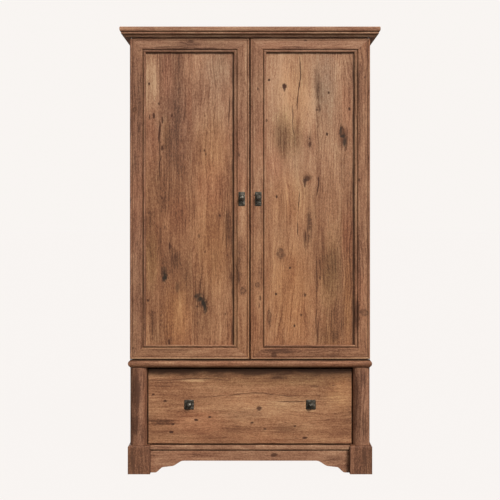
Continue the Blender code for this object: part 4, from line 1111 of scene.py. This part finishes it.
# The suns: name, energy, angular size in degrees, direction towards the sun.
SUNS = (
    ("key", 3.45, 20, (0.51, -1.0, 1.0)),
    ("fill", 0.55, 30, (0.30, -1.0, 0.16)),
    ("back", 1.10, 40, (-0.45, 1.0, 0.45)),
)


def build_floor(scene):
    """A wide pale floor: it glows for the camera, and only its dull side lights the piece."""
    mesh = bpy.data.meshes.new("floor")
    bm = bmesh.new()
    bmesh.ops.create_circle(bm, cap_ends=True, radius=FLOOR_RADIUS, segments=64)
    bm.to_mesh(mesh)
    bm.free()
    floor = bpy.data.objects.new("floor", mesh)
    scene.collection.objects.link(floor)
    floor.location.z = -FLOOR_DROP
    t = Tree("floor")
    glow = t.node("ShaderNodeEmission")
    glow.inputs["Color"].default_value = FLOOR_GLOW
    diffuse = t.node("ShaderNodeBsdfDiffuse")
    diffuse.inputs["Color"].default_value = FLOOR_COLOUR
    see = t.node("ShaderNodeLightPath")
    both = t.node("ShaderNodeMixShader")
    share = t.math("MULTIPLY", see.outputs["Is Camera Ray"], FLOOR_GLOW_SHARE)
    t.plug(both.inputs[0], share)
    t.plug(both.inputs[1], diffuse.outputs[0])
    t.plug(both.inputs[2], glow.outputs[0])
    t.plug(t.tree.nodes["Material Output"].inputs["Surface"], both.outputs[0])
    mesh.materials.append(t.material)


def build_light(scene):
    """Soft light from all round, seen by the camera as the floor's pale colour, and three suns."""
    world = bpy.data.worlds.new("studio")
    scene.world = world
    world.use_nodes = True
    nodes, links = world.node_tree.nodes, world.node_tree.links
    soft = nodes["Background"]
    soft.inputs["Color"].default_value = WORLD_LIGHT
    soft.inputs["Strength"].default_value = WORLD_STRENGTH
    pale_background = nodes.new("ShaderNodeBackground")
    pale_background.inputs["Color"].default_value = WORLD_SEEN
    path = nodes.new("ShaderNodeLightPath")
    mixed = nodes.new("ShaderNodeMixShader")
    links.new(path.outputs["Is Camera Ray"], mixed.inputs[0])
    links.new(soft.outputs[0], mixed.inputs[1])
    links.new(pale_background.outputs[0], mixed.inputs[2])
    links.new(mixed.outputs[0], nodes["World Output"].inputs["Surface"])

    for name, energy, angle, towards in SUNS:
        sun = bpy.data.lights.new(name, "SUN")
        sun.energy = energy
        sun.angle = math.radians(angle)
        sun.color = SUN_COLOUR
        lamp = bpy.data.objects.new(name, sun)
        scene.collection.objects.link(lamp)
        lamp.rotation_euler = Vector(towards).to_track_quat("Z", "Y").to_euler()


def build_camera(scene):
    """A level camera, shifted so that upright lines stay upright."""
    camera = bpy.data.cameras.new("camera")
    camera.sensor_width = SENSOR
    camera.lens = SENSOR * EYE_DISTANCE / VIEW_WIDTH
    camera.shift_y = (PICTURE_MIDDLE_Z - EYE_HEIGHT) / VIEW_WIDTH
    camera.clip_end = CLIP_END
    eye = bpy.data.objects.new("camera", camera)
    scene.collection.objects.link(eye)
    door_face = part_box("door_left_top_rail")[0][1]
    eye.location = (0.0, door_face - EYE_DISTANCE, EYE_HEIGHT)
    eye.rotation_euler = (math.radians(90), 0.0, 0.0)
    scene.camera = eye


def build_studio():
    scene = bpy.context.scene
    scene.view_settings.view_transform = "Standard"
    scene.view_settings.look = "None"
    build_floor(scene)
    build_light(scene)
    build_camera(scene)


build_doors()
build_boards()
build_plain_materials()
build_pulls()
soften(SOFTENED, SOFT_EDGE)
build_studio()
